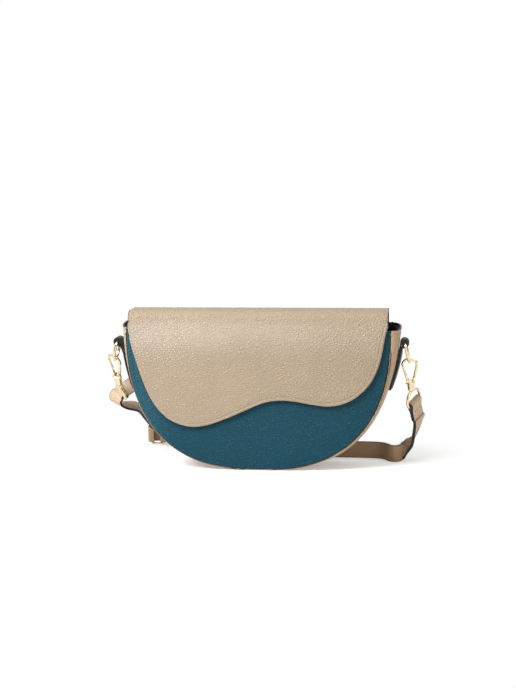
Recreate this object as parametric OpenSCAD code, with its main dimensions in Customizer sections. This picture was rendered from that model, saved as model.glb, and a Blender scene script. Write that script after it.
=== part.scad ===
// Half-moon saddle handbag with a wave-edged flap, side rings, two swivel snap hooks and a
// looped shoulder strap. Millimetres, +Z up. The origin is on the floor, under the middle of
// the bag; the front faces -Y and +X is to the right of someone who looks at the front.

/* [Body] */
// Width of the half-moon front and back panels
panel_w = 274; // [230:1:310]
// Height of the mouth's rim above the floor
rim_h = 148; // [130:1:170]
// Depth over both panels at the bottom
base_d = 55; // [46:1:75]
// Depth over both panels at the rim
mouth_d = 43; // [34:1:60]
// Power of the rounded half-moon outline, 2 is an ellipse
outline_power = 2.5; // [2.2:0.1:3]
// Thickness of the panel and gusset leather
leather_t = 1.8; // [1.4:0.1:2.4]
// Thickness of the lining with its stiffener
lining_t = 1; // [0.6:0.1:1.4]
// How far the gusset's folded edge stands out past the panels
seam_proud = 1; // [0.5:0.1:1.6]
// Depth of the flat that the bag rests on, cut from the curved bottom
rest_cut = 0.5; // [0.3:0.1:0.8]
// How far the gusset bows out at the rim
bow = 8.5; // [4:0.5:12]
// Height at which the gusset starts to bow out
bow_from = 62; // [45:1:80]

/* [Flap] */
// Width of the flap at its top
flap_w = 270; // [226:1:306]
// Height of the flap's top above the rim
flap_rise = 17; // [12:1:30]
// Height of the flap's lowest point, on its left lobe
flap_low = 46; // [35:1:60]
// Thickness of the flap's outer leather
flap_t = 1.8; // [1.4:0.1:2.4]
// Thickness of the flap's lining leather
flap_lining_t = 1.2; // [0.9:0.1:1.6]
// Inside radius of the flap's two bends
flap_bend_r = 7; // [4:0.5:10]
// Air between the flap and the panels
flap_gap = 0.5; // [0.3:0.1:1]
// Height above the rim of the line that the flap turns on
hinge_rise = 2; // [0.5:0.5:6]
// Height of the flap's sewn tongue on the back panel
tongue_h = 34; // [20:1:50]

/* [Closure] */
// Radius of the two hidden magnets
magnet_r = 9; // [6:0.5:11]
// Thickness of each magnet
magnet_t = 0.7; // [0.4:0.1:0.8]
// How far left of the middle the magnets sit
magnet_x = 66; // [40:1:80]
// Height of the magnets
magnet_z = 70; // [62:1:90]

/* [Side tabs and rings] */
// Width of the folded leather tabs
tab_w = 15.5; // [12:0.5:18]
// Thickness of the tab leather, one layer
tab_t = 1.8; // [1.4:0.1:2.2]
// How far the tab's square-cut foot lies below the rim
tab_foot_down = 66; // [50:1:75]
// How far the centre of the tab's loop lies below the rim
tab_loop_down = 17; // [12:1:26]
// Radius of the hole through the tab's loop
tab_hole_r = 2.9; // [2.4:0.1:3.4]
// Radius of the ring's wire
ring_wire_r = 1.4; // [1.2:0.1:1.6]
// Length of the ring between its bar's and its bend's centre lines
ring_l = 20; // [17:0.5:24]
// Half the ring's width between wire centre lines
ring_half = 11; // [10.5:0.5:13]
// Radius of the ring's two upper corners
ring_corner_r = 3; // [2:0.2:3]
// How far the ring hangs out from straight down, in degrees
ring_tilt = 12.5; // [8:0.5:20]

/* [Snap hooks] */
// Radius of the hook's cast wire
hook_wire_r = 1.4; // [1.2:0.1:1.6]
// Radius of the hook's rounded top between wire centre lines
hook_bend_r = 7.35; // [6.6:0.05:8]
// Length from the hook's top to the gate's pivot
hook_l = 27; // [25:0.5:30]
// Largest radius of the swivel barrel
barrel_r = 4.1; // [3.9:0.1:4.4]
// Length of the swivel barrel
barrel_l = 9.2; // [8.5:0.1:10]
// Radius of the swivel stud
stud_r = 1.1; // [1:0.05:1.15]
// Radius of the gate's pivot pin
pin_r = 0.6; // [0.5:0.05:0.7]
// Radius of the swivel loop's wire
eye_wire_r = 1.5; // [1.3:0.1:1.7]
// Distance from the barrel's foot to the swivel loop's bar
eye_h = 17; // [16.5:0.1:20]

/* [Strap] */
// Width of the shoulder strap
strap_w = 17.5; // [15:0.5:18]
// Thickness of the strap leather
strap_t = 2; // [1.6:0.1:2.2]
// Length of the sewn double end under the right hook
strap_end_l = 20; // [16:0.5:26]
// Radius of the wire of the link that joins the strap's two pieces
link_wire_r = 1.3; // [1.1:0.1:1.4]
// Length of the link along the strap between wire centre lines
link_l = 14; // [13:0.5:18]

/* [Hidden] */

// colours as photographed
teal = [0.16, 0.36, 0.44];
taupe = [0.78, 0.71, 0.60];
strap_tan = [0.72, 0.64, 0.53];
ink = [0.09, 0.10, 0.12];
pale_gold = [0.86, 0.76, 0.52];
magnet_grey = [0.55, 0.55, 0.57];

// clearances shared by the pieces
seat = 0.1;          // between pieces sewn or glued together
play = 0.3;          // between pieces that move
overrun = 5;         // how far a cutting shape runs past what it cuts
round_fn = 48;
small_fn = 32;

// heights above the floor
flap_top = rim_h + flap_rise;
hinge_z = rim_h + hinge_rise;
tab_foot_z = rim_h - tab_foot_down;
tab_loop_z = rim_h - tab_loop_down;

// the panels lean in towards the mouth
lean = atan((base_d - mouth_d) / 2 / rim_h);
// the panels stand this far above the floor, so that the flat is cut from the gusset's edge
lift = seam_proud - rest_cut;
outline_steps = 64;
gusset_steps = 52;
gusset_across = 8;
bow_share = 2.6;
bow_round_share = 0.65;

// half depth, to the panels' outer faces, at height z
function half_depth(z) = base_d / 2 - z * tan(lean);

// half width of a half-moon that is grown by g, at height z
function half_width(z, g) =
    (panel_w / 2 + g) * pow(1 - pow((rim_h - z) / (rim_h - lift + g), outline_power), 1 / outline_power);

// the half-moon's edge, grown by g, from the right end of the rim to the left
function moon(g, steps, top = rim_h) = [for (i = [0:steps])
    let (a = 180 * i / steps)
    [sign(cos(a)) * (panel_w / 2 + g) * pow(abs(cos(a)), 2 / outline_power),
     top - (top - lift + g) * pow(sin(a), 2 / outline_power)]];

// how far the gusset bows out at height z
function bow_at(z) = bow * max(0, (z - bow_from) / (rim_h - bow_from));

// outer surface of the gusset at its middle, at height z
function side_x(z) = half_width(z, seam_proud) + bow_at(z);

// stands what is drawn in X and Z, and extruded from y = 0 inwards, on the leaning front
module on_front() {
    translate([0, -base_d / 2, 0])
        rotate([-lean, 0, 0])
            children();
}

module on_back() {
    mirror([0, 1, 0])
        on_front()
            children();
}

// a plate drawn in X and Z, from y = from inwards
module plate(from, thick) {
    translate([0, from + thick, 0])
        rotate([90, 0, 0])
            linear_extrude(thick)
                children();
}

module moon_plate(g, from, thick, top = rim_h) {
    plate(from, thick)
        polygon([for (p = moon(g, outline_steps, top)) [p[0], max(p[1], 0)]]);
}

// closed skin over two grids of points, the outer and the inner one, each rows x columns
module double_skin(outer, inner) {
    rows = len(outer);
    cols = len(outer[0]);
    count = rows * cols;
    points = [for (r = outer) each r, for (r = inner) each r];
    function at(i, k) = i * cols + k;
    skin = [for (i = [0:rows - 2], k = [0:cols - 2]) each [
        [at(i, k), at(i, k + 1), at(i + 1, k + 1)],
        [at(i, k), at(i + 1, k + 1), at(i + 1, k)],
        [count + at(i, k), count + at(i + 1, k + 1), count + at(i, k + 1)],
        [count + at(i, k), count + at(i + 1, k), count + at(i + 1, k + 1)]]];
    sides = [for (i = [0:rows - 2]) each [
        [at(i, 0), at(i + 1, 0), count + at(i + 1, 0)],
        [at(i, 0), count + at(i + 1, 0), count + at(i, 0)],
        [at(i, cols - 1), count + at(i + 1, cols - 1), at(i + 1, cols - 1)],
        [at(i, cols - 1), count + at(i, cols - 1), count + at(i + 1, cols - 1)]]];
    ends = [for (k = [0:cols - 2]) each [
        [at(0, k), count + at(0, k + 1), at(0, k + 1)],
        [at(0, k), count + at(0, k), count + at(0, k + 1)],
        [at(rows - 1, k), at(rows - 1, k + 1), count + at(rows - 1, k + 1)],
        [at(rows - 1, k), count + at(rows - 1, k + 1), count + at(rows - 1, k)]]];
    polyhedron(points, concat(skin, sides, ends));
}

// one face of the gusset band, grown by g, whose edges stay margin inside the panels
function band(g, margin, top) = [for (p = moon(g, gusset_steps, top))
    let (z = max(p[1], 0),
         sx = sign(p[0]) * pow(abs(p[0]) / (panel_w / 2 + g), outline_power - 1) / panel_w * 2,
         sz = -pow((top - p[1]) / (top - lift + g), outline_power - 1) / top,
         n = [sx, sz] / norm([sx, sz]),
         reach = half_depth(z) - leather_t / cos(lean) - margin)
    [for (k = [0:gusset_across])
        let (t = sin(90 * (2 * k / gusset_across - 1)),
             out = bow_at(z) * pow(1 - pow(abs(t), bow_share), bow_round_share))
        [p[0] + n[0] * out, t * reach, max(z + n[1] * out, 0)]]];

module front_panel() {
    color(teal) on_front() moon_plate(0, 0, leather_t);
}

module back_panel() {
    color(teal) on_back() moon_plate(0, 0, leather_t);
}

module gusset() {
    color(taupe)
        double_skin(band(seam_proud, seat / 2, rim_h),
            band(seam_proud - leather_t, seat / 2, rim_h));
}

// the lining is a bag of its own inside the leather, a little lower at the rim
lining_drop = 2.5;
lining_room = 0.8;   // between the gusset and the lining's edge
lining_in = leather_t - seam_proud + lining_room;
lining_top = rim_h - lining_drop;

module front_lining() {
    color(ink) on_front() difference() {
        moon_plate(-lining_in, leather_t + seat, lining_t, lining_top);
        magnet_place() magnet_disc(leather_t, magnet_t + 2 * seat, magnet_r + seat);
    }
}

module back_lining() {
    color(ink) on_back()
        moon_plate(-lining_in, leather_t + seat, lining_t, lining_top);
}

module gusset_lining() {
    lining_margin = lining_t + 2 * seat;
    color(ink)
        double_skin(band(-lining_in, lining_margin, lining_top),
            band(-lining_in - lining_t, lining_margin, lining_top));
}

// slip pocket on the back lining, sewn at its foot and both sides and open at its top
pocket_w = 130;
pocket_foot_z = 45;
pocket_h = 80;
pocket_corner_r = 12;
pocket_slack = 1.6;

module inner_pocket() {
    from = leather_t + lining_t + 2 * seat;
    color(ink) on_back() difference() {
        plate(from, pocket_slack + lining_t) pocket_outline(0, 0);
        plate(from - seat, pocket_slack + seat) pocket_outline(lining_t, overrun);
    }
}

module pocket_outline(in, up) {
    r = pocket_corner_r - in;
    for (s = [-1, 1])
        translate([s * (pocket_w / 2 - pocket_corner_r), pocket_foot_z + pocket_corner_r])
            circle(r, $fn = round_fn);
    translate([-pocket_w / 2 + in, pocket_foot_z + pocket_corner_r])
        square([pocket_w - 2 * in, pocket_h - pocket_corner_r + up]);
    translate([-pocket_w / 2 + pocket_corner_r, pocket_foot_z + in])
        square([pocket_w - 2 * pocket_corner_r, pocket_corner_r]);
}

module magnet_place() {
    translate([-magnet_x, 0, magnet_z])
        children();
}

module magnet_disc(from, thick, r) {
    translate([0, from + thick, 0])
        rotate([90, 0, 0])
            cylinder(h = thick, r = r, $fn = round_fn);
}

module body_magnet() {
    color(magnet_grey) on_front()
        magnet_place() magnet_disc(leather_t + seat, magnet_t, magnet_r);
}

// Flap. Its section runs up the back, over the mouth and down the front; off is the distance
// from the flap's inner face. The front and the back run parallel to the panels.
flap_all_t = flap_t + flap_lining_t;
flap_arc_steps = 8;
flap_front_foot = flap_low - overrun;

function flap_line_y(z, off) = half_depth(z) + (flap_gap + off) / cos(lean);
function flap_path(off) =
    let (zc = flap_top - flap_all_t - flap_bend_r,
         yc = flap_line_y(zc, 0) - flap_bend_r / cos(lean),
         r = flap_bend_r + off)
    concat(
        [[-flap_line_y(flap_front_foot, off), flap_front_foot]],
        [for (i = [0:flap_arc_steps])
            let (a = 180 - lean - (90 - lean) * i / flap_arc_steps)
            [-yc + r * cos(a), zc + r * sin(a)]],
        [for (i = [0:flap_arc_steps])
            let (a = 90 - (90 - lean) * i / flap_arc_steps)
            [yc + r * cos(a), zc + r * sin(a)]],
        [[flap_line_y(hinge_z + seat, off), hinge_z + seat]]);

// The wave edge, from the flap's left side, round the big left lobe, over the crest right of
// the middle and round the right lobe. x is a share of half the flap's width, z of the height
// from the flap's lowest point to its hinge line.
wave_shares = [[-1, 0.98], [-0.99, 0.9], [-0.97, 0.79], [-0.938, 0.655], [-0.889, 0.463], [-0.823, 0.267],
    [-0.735, 0.118], [-0.62, 0.03], [-0.5, 0], [-0.38, 0.022], [-0.212, 0.102], [-0.045, 0.2],
    [0.055, 0.25], [0.17, 0.273], [0.286, 0.262], [0.418, 0.234], [0.533, 0.218],
    [0.65, 0.243], [0.765, 0.322], [0.848, 0.435], [0.903, 0.575], [0.935, 0.72], [0.96, 0.9],
    [0.985, 1]];
wave_steps = 3;

// a smooth curve through the points, by Catmull and Rom's rule
function curve(p, steps) = [for (i = [0:len(p) - 2], s = [0:steps - 1])
    let (t = s / steps,
         a = p[max(i - 1, 0)],
         b = p[i],
         c = p[i + 1],
         d = p[min(i + 2, len(p) - 1)])
    ((b * 2) + (c - a) * t + (a * 2 - b * 5 + c * 4 - d) * t * t
        + (b * 3 - c * 3 + d - a) * t * t * t) / 2];

wave = [for (s = concat(curve(wave_shares, wave_steps), [wave_shares[len(wave_shares) - 1]]))
    [s[0] * flap_w / 2, flap_low + s[1] * (hinge_z - flap_low)]];

module flap_layer(inner, outer) {
    reach = base_d + overrun;
    intersection() {
        rotate([90, 0, 90])
            translate([0, 0, -flap_w])
                linear_extrude(2 * flap_w)
                    polygon(concat(flap_path(outer), reverse_list(flap_path(inner))));
        translate([0, reach, 0])
            rotate([90, 0, 0])
                linear_extrude(2 * reach)
                    polygon(concat(wave, [[flap_w / 2, flap_top + overrun],
                        [-flap_w / 2, flap_top + overrun]]));
    }
}

function reverse_list(l) = [for (i = [len(l) - 1:-1:0]) l[i]];

module flap() {
    color(taupe) flap_layer(flap_lining_t + seat / 2, flap_all_t);
}

module flap_lining() {
    color(ink) difference() {
        flap_layer(0, flap_lining_t);
        flap_magnet_place(seat);
    }
}

module flap_magnet_place(grow) {
    on_front() magnet_place()
        magnet_disc(-flap_gap - flap_lining_t - grow / 2, magnet_t + grow, magnet_r + grow);
}

module flap_magnet() {
    color(magnet_grey) flap_magnet_place(0);
}

// the flap's tongue is sewn flat to the back panel below the hinge line
tongue_in = 3;

module flap_tongue() {
    color(taupe) on_back() plate(-flap_gap - flap_all_t, flap_all_t + flap_gap - seat)
        polygon([for (s = [1, -1], i = [0:flap_arc_steps])
            let (z = hinge_z - tongue_h * (s > 0 ? i : flap_arc_steps - i) / flap_arc_steps)
            [s * min(flap_w / 2, half_width(min(z, rim_h), 0) - tongue_in), z]]);
}

// Side tabs: one strip each, folded at its top into a loop and sewn to the gusset.
tab_gap = 0.4;
tab_loop_r = tab_hole_r + tab_t;
tab_steps = 10;
loop_x = side_x(tab_loop_z) + tab_gap + tab_loop_r;

// outline of a tab's side: up the strip's inner edge, round the loop and down its outer edge
tab_wrap_a = 180 + asin((tab_loop_r - 2 * tab_t) / tab_loop_r);
tab_side = concat(
    [for (i = [0:tab_steps - 1])
        let (z = tab_foot_z + (tab_loop_z - tab_foot_z) * i / tab_steps)
        [side_x(z) + tab_gap, z]],
    [for (i = [0:3 * tab_steps])
        let (a = 180 - (180 + 270 - tab_wrap_a) * i / (3 * tab_steps))
        [loop_x + tab_loop_r * cos(a), tab_loop_z + tab_loop_r * sin(a)]],
    [for (i = [1:tab_steps])
        let (z = tab_loop_z - tab_loop_r - (tab_loop_z - tab_loop_r - tab_foot_z) * i / tab_steps)
        [side_x(z) + tab_gap + 2 * tab_t, z]]);

module tab(s) {
    color(ink) mirror([side_of(s), 0, 0])
        translate([0, tab_w / 2, 0])
            rotate([90, 0, 0])
                linear_extrude(tab_w)
                    difference() {
                        polygon(tab_side);
                        translate([loop_x, tab_loop_z])
                            circle(tab_hole_r, $fn = round_fn);
                    }
}

// Where each side's pieces hang. s is 1 on the right and -1 on the left.
bar_out = 0.55;
bar_down = 1;
ring_bar = [loop_x + bar_out, 0, tab_loop_z - bar_down];
ring_foot = ring_bar + ring_l * [sin(ring_tilt), 0, -cos(ring_tilt)];

// How each hook hangs, the right one first. The strap pushes the left one up and outwards.
hook_play = 0.5;
hook_push = [[0, 0, 0], [-1.7, 0, 1.4]];
hook_lean = [26, 31];
hook_roll = [-3, -2];
hook_turn = [0, -30];
eye_back = [0, 15];
eye_roll = [-8, 0];
eye_turn = [56, -62];

function side_of(s) = s > 0 ? 0 : 1;
function sided(p, s) = [s * p[0], p[1], p[2]];
function hook_top(s) = sided(ring_foot, s) + hook_push[side_of(s)]
    + [0, 0, ring_wire_r + hook_wire_r + hook_play];

module at_ring(s) {
    translate(sided(ring_bar, s))
        rotate([0, -s * ring_tilt, 0])
            children();
}

module at_barrel(s) {
    translate(hook_top(s))
        rotate([0, hook_roll[side_of(s)], 0])
            rotate([hook_lean[side_of(s)], 0, 0])
                children();
}

module at_hook(s) {
    at_barrel(s)
        rotate([0, 0, hook_turn[side_of(s)]])
            children();
}

// the swivel loop tips a little in the barrel's wide hole, about the middle of its floor
module at_eye(s) {
    at_barrel(s)
        translate([0, 0, -swivel_d])
            rotate([eye_back[side_of(s)], 0, 0])
                rotate([0, eye_roll[side_of(s)], 0])
                    rotate([0, 0, eye_turn[side_of(s)]])
                        children();
}

function turn_x(a, p) = [p[0], p[1] * cos(a) - p[2] * sin(a), p[1] * sin(a) + p[2] * cos(a)];
function turn_y(a, p) = [p[0] * cos(a) + p[2] * sin(a), p[1], p[2] * cos(a) - p[0] * sin(a)];
function turn_z(a, p) = [p[0] * cos(a) - p[1] * sin(a), p[0] * sin(a) + p[1] * cos(a), p[2]];
function barrel_turned(s, p) = turn_y(hook_roll[side_of(s)], turn_x(hook_lean[side_of(s)], p));
function eye_turned(s, p) = barrel_turned(s, turn_x(eye_back[side_of(s)],
    turn_y(eye_roll[side_of(s)], turn_z(eye_turn[side_of(s)], p))));
function eye_point(s, p) = hook_top(s) + barrel_turned(s, [0, 0, -swivel_d]) + eye_turned(s, p);

// part of a wire ring in the XZ plane, about [0, 0], from angle a over the angle sweep
module wire_arc(bend_r, wire_r, a, sweep) {
    rotate([90, 0, 0])
        rotate([0, 0, a])
            rotate_extrude(angle = sweep, $fn = round_fn)
                translate([bend_r, 0])
                    circle(wire_r, $fn = small_fn);
}

// a straight wire in the XZ plane between two points given as [x, z]
module wire_rod(from, to, wire_r) {
    d = to - from;
    translate([from[0], 0, from[1]])
        rotate([0, atan2(d[0], d[1]), 0])
            cylinder(h = norm(d), r = wire_r, $fn = small_fn);
}

// a bead that closes the seam between two lengths of wire
bead_proud = 0.025;
module wire_bead(at, wire_r) {
    translate([at[0], 0, at[1]])
        sphere(wire_r + bead_proud, $fn = small_fn);
}

// a D-shaped wire loop in the XZ plane: a straight bar at z = 0 and a half-round far end
module wire_d(half, corner_r, length, wire_r) {
    wire_rod([corner_r - half, 0], [half - corner_r, 0], wire_r);
    translate([0, 0, half - length])
        wire_arc(half, wire_r, 180, 180);
    for (s = [0, 1])
        mirror([s, 0, 0]) {
            translate([half - corner_r, 0, -corner_r])
                wire_arc(corner_r, wire_r, 0, 90);
            wire_rod([half, -corner_r], [half, half - length], wire_r);
        }
}

module ring(s) {
    color(pale_gold) at_ring(s)
        rotate([0, 0, 90])
            wire_d(ring_half, ring_corner_r, ring_l, ring_wire_r);
}

// Snap hook. Its top is at [0, 0] and it hangs along -Z. The solid arm is on the right, the
// sprung gate on the left. The arms run from the round top, at a tangent, to the pivots.
pivot_x = 3.2;
pivot = [-pivot_x, -hook_l];
arm_foot = [pivot_x, -hook_l];
bend_c = [0, -hook_bend_r];
foot_d = norm(arm_foot - bend_c);
tangent_a = -atan2(hook_l - hook_bend_r, pivot_x) + acos(hook_bend_r / foot_d);
half_turn = 180;
nose_share = 0.978;
nose_a = half_turn * nose_share;
gate_slit = 0.75;
gate_slit_a = gate_slit / hook_bend_r * half_turn / PI;
arm_start = bend_c + hook_bend_r * [cos(tangent_a), sin(tangent_a)];
gate_start = bend_c + hook_bend_r * [-cos(tangent_a), sin(tangent_a)];
barrel_gap = 1.5;
barrel_top = hook_l + barrel_gap;
barrel_foot = barrel_top + barrel_l;
barrel_floor = 1.6;
barrel_waist_r = barrel_r - play;
barrel_lip = 1.2;
swivel_d = barrel_foot - barrel_floor / 2;
stud_room = 0.55;
hole_r = stud_r + stud_room;
barrel_wall = 0.75;
chamber_r = barrel_waist_r - barrel_wall;
chamber_h = 4.4;
head_room = 0.95;
head_r = chamber_r - head_room;
head_t = 0.9;
head_up = 1.8;
ear_r = 1.7;
ear_t = 0.9;
gate_half_t = 1.1;
gate_slim = 0.25;
gate_wire_r = hook_wire_r - gate_slim;
gate_eye_r = 1.5;

module hook(s) {
    color(pale_gold) at_hook(s) difference() {
        union() {
            translate([0, 0, bend_c[1]])
                wire_arc(hook_bend_r, hook_wire_r, tangent_a, nose_a - tangent_a);
            wire_rod(arm_foot, arm_start, hook_wire_r);
            wire_bead(arm_start, hook_wire_r);
            barrel();
            hook_shoulder();
            for (side = [-1, 1])
                gate_ear(side);
        }
        translate([0, 0, -barrel_foot - overrun])
            cylinder(h = barrel_floor + overrun + seat, r = hole_r, $fn = small_fn);
        translate([0, 0, -barrel_foot + barrel_floor])
            cylinder(h = chamber_h, r = chamber_r, $fn = round_fn);
        translate([pivot[0], overrun, pivot[1]])
            rotate([90, 0, 0])
                cylinder(h = 2 * overrun, r = pin_r, $fn = small_fn);
        gate_slot();
    }
}

module barrel() {
    rotate([180, 0, 0])
        rotate_extrude($fn = round_fn)
            polygon([[0, barrel_top], [barrel_r, barrel_top],
                [barrel_r, barrel_top + barrel_lip], [barrel_waist_r, barrel_foot - barrel_lip],
                [barrel_waist_r, barrel_foot], [0, barrel_foot]]);
}

// block that joins the solid arm to the barrel
module hook_shoulder() {
    translate([arm_foot[0], hook_wire_r, 0])
        rotate([90, 0, 0])
            linear_extrude(2 * hook_wire_r)
                polygon([[-hook_wire_r, -hook_l + hook_wire_r], [hook_wire_r, -hook_l + hook_wire_r],
                    [hook_wire_r - seat, -barrel_top - barrel_lip],
                    [-hook_wire_r, -barrel_top - barrel_lip]]);
}

// the gate turns between two ears that stand up from the barrel
module gate_ear(side) {
    translate([0, side * (gate_half_t + play + ear_t / 2) + ear_t / 2, 0])
        rotate([90, 0, 0])
            linear_extrude(ear_t) {
                translate(pivot)
                    circle(ear_r, $fn = small_fn);
                translate([pivot[0] - ear_r, -barrel_top - barrel_lip])
                    square([2 * ear_r, barrel_top + barrel_lip - hook_l]);
            }
}

module gate_slot() {
    slot_r = gate_eye_r + play;
    translate([pivot[0], gate_half_t + play, pivot[1]])
        rotate([90, 0, 0])
            cylinder(h = 2 * (gate_half_t + play), r = slot_r, $fn = small_fn);
}

module gate(s) {
    color(pale_gold) at_hook(s) difference() {
        union() {
            translate([0, 0, bend_c[1]])
                wire_arc(hook_bend_r, gate_wire_r, nose_a + gate_slit_a,
                    half_turn - tangent_a - nose_a - gate_slit_a);
            wire_rod(pivot, gate_start, gate_wire_r);
            wire_bead(gate_start, gate_wire_r);
            translate([pivot[0], gate_half_t, pivot[1]])
                rotate([90, 0, 0])
                    cylinder(h = 2 * gate_half_t, r = gate_eye_r, $fn = small_fn);
        }
        translate([pivot[0], overrun, pivot[1]])
            rotate([90, 0, 0])
                cylinder(h = 2 * overrun, r = pin_r + play, $fn = small_fn);
    }
}

module gate_pin(s) {
    pin_half = gate_half_t + play + ear_t;
    color(pale_gold) at_hook(s)
        translate([pivot[0], pin_half, pivot[1]])
            rotate([90, 0, 0])
                cylinder(h = 2 * pin_half, r = pin_r, $fn = small_fn);
}

// The swivel loop: its stud turns in the barrel, held by a head inside it, and the strap is
// sewn round its bar. It is drawn about the middle of the barrel's floor.
eye_room = 1;
eye_half = strap_w / 2 + eye_room + eye_wire_r;
eye_corner_r = 2.2;
eye_drop = eye_h + barrel_floor / 2;
collar_r = 2.6;
collar_d = 1.9;
collar_t = 1.2;
eye_top = collar_d + eye_wire_r;

module eye(s) {
    color(pale_gold) at_eye(s) {
        translate([0, 0, -eye_drop])
            rotate([180, 0, 0])
                wire_d(eye_half, eye_corner_r, eye_drop - eye_top, eye_wire_r);
        translate([0, 0, -eye_top])
            cylinder(h = eye_top + head_up + head_t, r = stud_r, $fn = small_fn);
        translate([0, 0, -collar_d - collar_t])
            cylinder(h = collar_t, r = collar_r, $fn = small_fn);
        translate([0, 0, head_up])
            cylinder(h = head_t, r = head_r, $fn = small_fn);
    }
}

// The strap's right end is folded round the swivel loop's bar and sewn to itself.
end_taper = 8;
fold_r = eye_wire_r + play;

module strap_end_right() {
    color(strap_tan) at_eye(1) translate([-strap_w / 2, 0, -eye_drop])
        rotate([90, 0, 90])
            linear_extrude(strap_w)
                difference() {
                    polygon(concat(
                        [for (i = [0:tab_steps])
                            let (a = 180 * i / tab_steps)
                            (fold_r + strap_t) * [cos(a), sin(a)]],
                        [[-strap_t, -end_taper], [-strap_t, -strap_end_l],
                            [strap_t, -strap_end_l], [strap_t, -end_taper]]));
                    circle(fold_r, $fn = round_fn);
                    polygon([[-fold_r, 0], [0, -end_taper], [fold_r, 0]]);
                }
}

// A strap stood along a path. Each entry is [a point of the middle line, the direction of the
// width there]; a smooth curve is drawn through the points.
path_steps = 3;

function smooth(path) =
    let (p = curve([for (f = path) f[0]], path_steps),
         w = curve([for (f = path) f[1]], path_steps))
    concat([for (i = [0:len(p) - 1]) [p[i], w[i]]], [path[len(path) - 1]]);

module strap_along(path) {
    fine = smooth(path);
    last = len(fine) - 1;
    corners = [for (i = [0:last])
        let (t = i == 0 ? path[1][0] - path[0][0]
                : i == last ? path[len(path) - 1][0] - path[len(path) - 2][0]
                : fine[i + 1][0] - fine[i - 1][0],
             n = cross(t, fine[i][1]) / norm(cross(t, fine[i][1])) * strap_t / 2,
             w = fine[i][1] / norm(fine[i][1]) * strap_w / 2)
        each [fine[i][0] - w - n, fine[i][0] + w - n, fine[i][0] + w + n, fine[i][0] - w + n]];
    sides = [for (i = [0:last - 1], k = [0:3])
        let (a = 4 * i + k,
             b = 4 * i + (k + 1) % 4)
        each [[a, a + 4, b + 4], [a, b + 4, b]]];
    ends = [[0, 1, 2], [0, 2, 3],
        [4 * last, 4 * last + 2, 4 * last + 1], [4 * last, 4 * last + 3, 4 * last + 2]];
    polyhedron(corners, concat(sides, ends));
}

// A path in the air from one place to another. Each entry is the share of the way, an offset from
// it in strap widths and the direction of the width.
function route(from, to, shares) = [for (f = shares)
    [from + (to - from) * f[0] + f[1] * strap_w, f[2]]];

// middle line of the drop from the right hook's sewn end to the floor
drop_shares = [
    [0.18, [0.16, 0.18, -0.08], [0.41, 0.81, 0.42]],
    [0.37, [0.25, 0.33, -0.14], [0.26, 0.95, 0.18]],
    [0.54, [0.31, 0.49, -0.17], [0.08, 0.99, 0.08]],
    [0.68, [0.29, 0.55, -0.17], [-0.09, 0.95, 0.29]],
    [0.81, [0.17, 0.48, -0.09], [-0.14, 0.78, 0.61]],
    [0.91, [0.11, 0.28, -0.06], [-0.12, 0.52, 0.85]]];
// middle line of the left loop from its sewn end, beside the link, to the hook
loop_a_shares = [
    [0, [1.82, 0.71, 0.35], [0, 0, 1]],
    [0, [1.47, 0.59, 0.42], [0, 0, 1]],
    [0, [1.13, 0.34, 0.76], [0, 0.05, 1]],
    [0.09, [0.84, 0.35, 0.74], [0, 0.1, 1]],
    [0.23, [0.22, 0.04, 0.18], [-0.11, 0.12, 0.99]],
    [0.36, [0.17, 0.03, 0.15], [-0.25, 0.35, 0.9]],
    [0.51, [0.13, 0.04, 0.11], [-0.38, 0.51, 0.77]],
    [0.64, [0.11, -0.02, 0.02], [-0.5, 0.69, 0.52]],
    [0.74, [-0.02, -0.15, -0.16], [-0.66, 0.62, 0.41]],
    [0.83, [-0.24, -0.22, -0.38], [-0.78, 0.56, 0.29]],
    [0.9, [-0.37, -0.26, -0.46], [-0.84, 0.43, 0.34]],
    [0.95, [-0.44, -0.21, -0.44], [-0.82, 0.32, 0.47]],
    [0.98, [-0.39, -0.1, -0.25], [-0.65, 0.37, 0.67]]];
// and from the hook, behind the bag, to the strap's link
loop_b_shares = [
    [0.03, [0.17, 0.18, 0.24], [-0.46, 0.54, 0.71]],
    [0.08, [0.33, 0.36, 0.56], [-0.43, 0.51, 0.75]],
    [0.15, [0.46, 0.54, 0.83], [-0.4, 0.58, 0.71]],
    [0.42, [1.96, 0.46, 1.42], [-0.3, 0.8, 0.5]],
    [0.67, [2.49, 0.37, 1.51], [-0.3, 0.85, 0.4]],
    [0.91, [2.64, 0.24, 1.4], [-0.4, 0.75, 0.5]],
    [1, [2.5, 0.51, 0.96], [-0.4, 0.6, 0.65]],
    [1, [2.13, 0.87, 0.47], [0, 0.5, 0.85]],
    [1, [1.82, 0.85, 0.33], [0, 0.1, 1]],
    [1, [1.47, 0.72, 0.23], [0, 0, 1]],
    [1, [0.96, 0.51, 0.07], [0, 0, 1]]];

// the drop leaves the sewn end and meets the floor's length in line with them
module strap_drop_right() {
    start = [0, -strap_t / 2, -eye_drop - strap_end_l - seat];
    foot = floor_point(0);
    back = (foot - floor_point(1)) / norm(foot - floor_point(1));
    color(strap_tan) strap_along(concat(
        [for (d = [0, drop_lead])
            [eye_point(1, start - [0, 0, d]), eye_turned(1, [1, 0, 0])]],
        route(eye_point(1, start), foot, drop_shares),
        [for (d = [drop_lead, 2 * seat])
            [foot + back * d, [0, 0, 1]]]));
}
drop_lead = 3;

// On the floor the strap stands on its edge. It bends forward under the right hook, runs behind
// the bag and is folded there in passes.
floor_z = strap_w / 2 + seat;
floor_shares = [[0.529, 0.113], [0.519, 0.0975], [0.504, 0.0925], [0.489, 0.104], [0.479, 0.124],
    [0.465, 0.1445], [0.442, 0.1565], [0.415, 0.161], [0.347, 0.164], [0.24, 0.167]];
fold_pitch = 15.5;
fold_reach_share = 0.226;
fold_y_share = 0.171;
fold_steps = 4;
fold_lead = 8;

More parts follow.
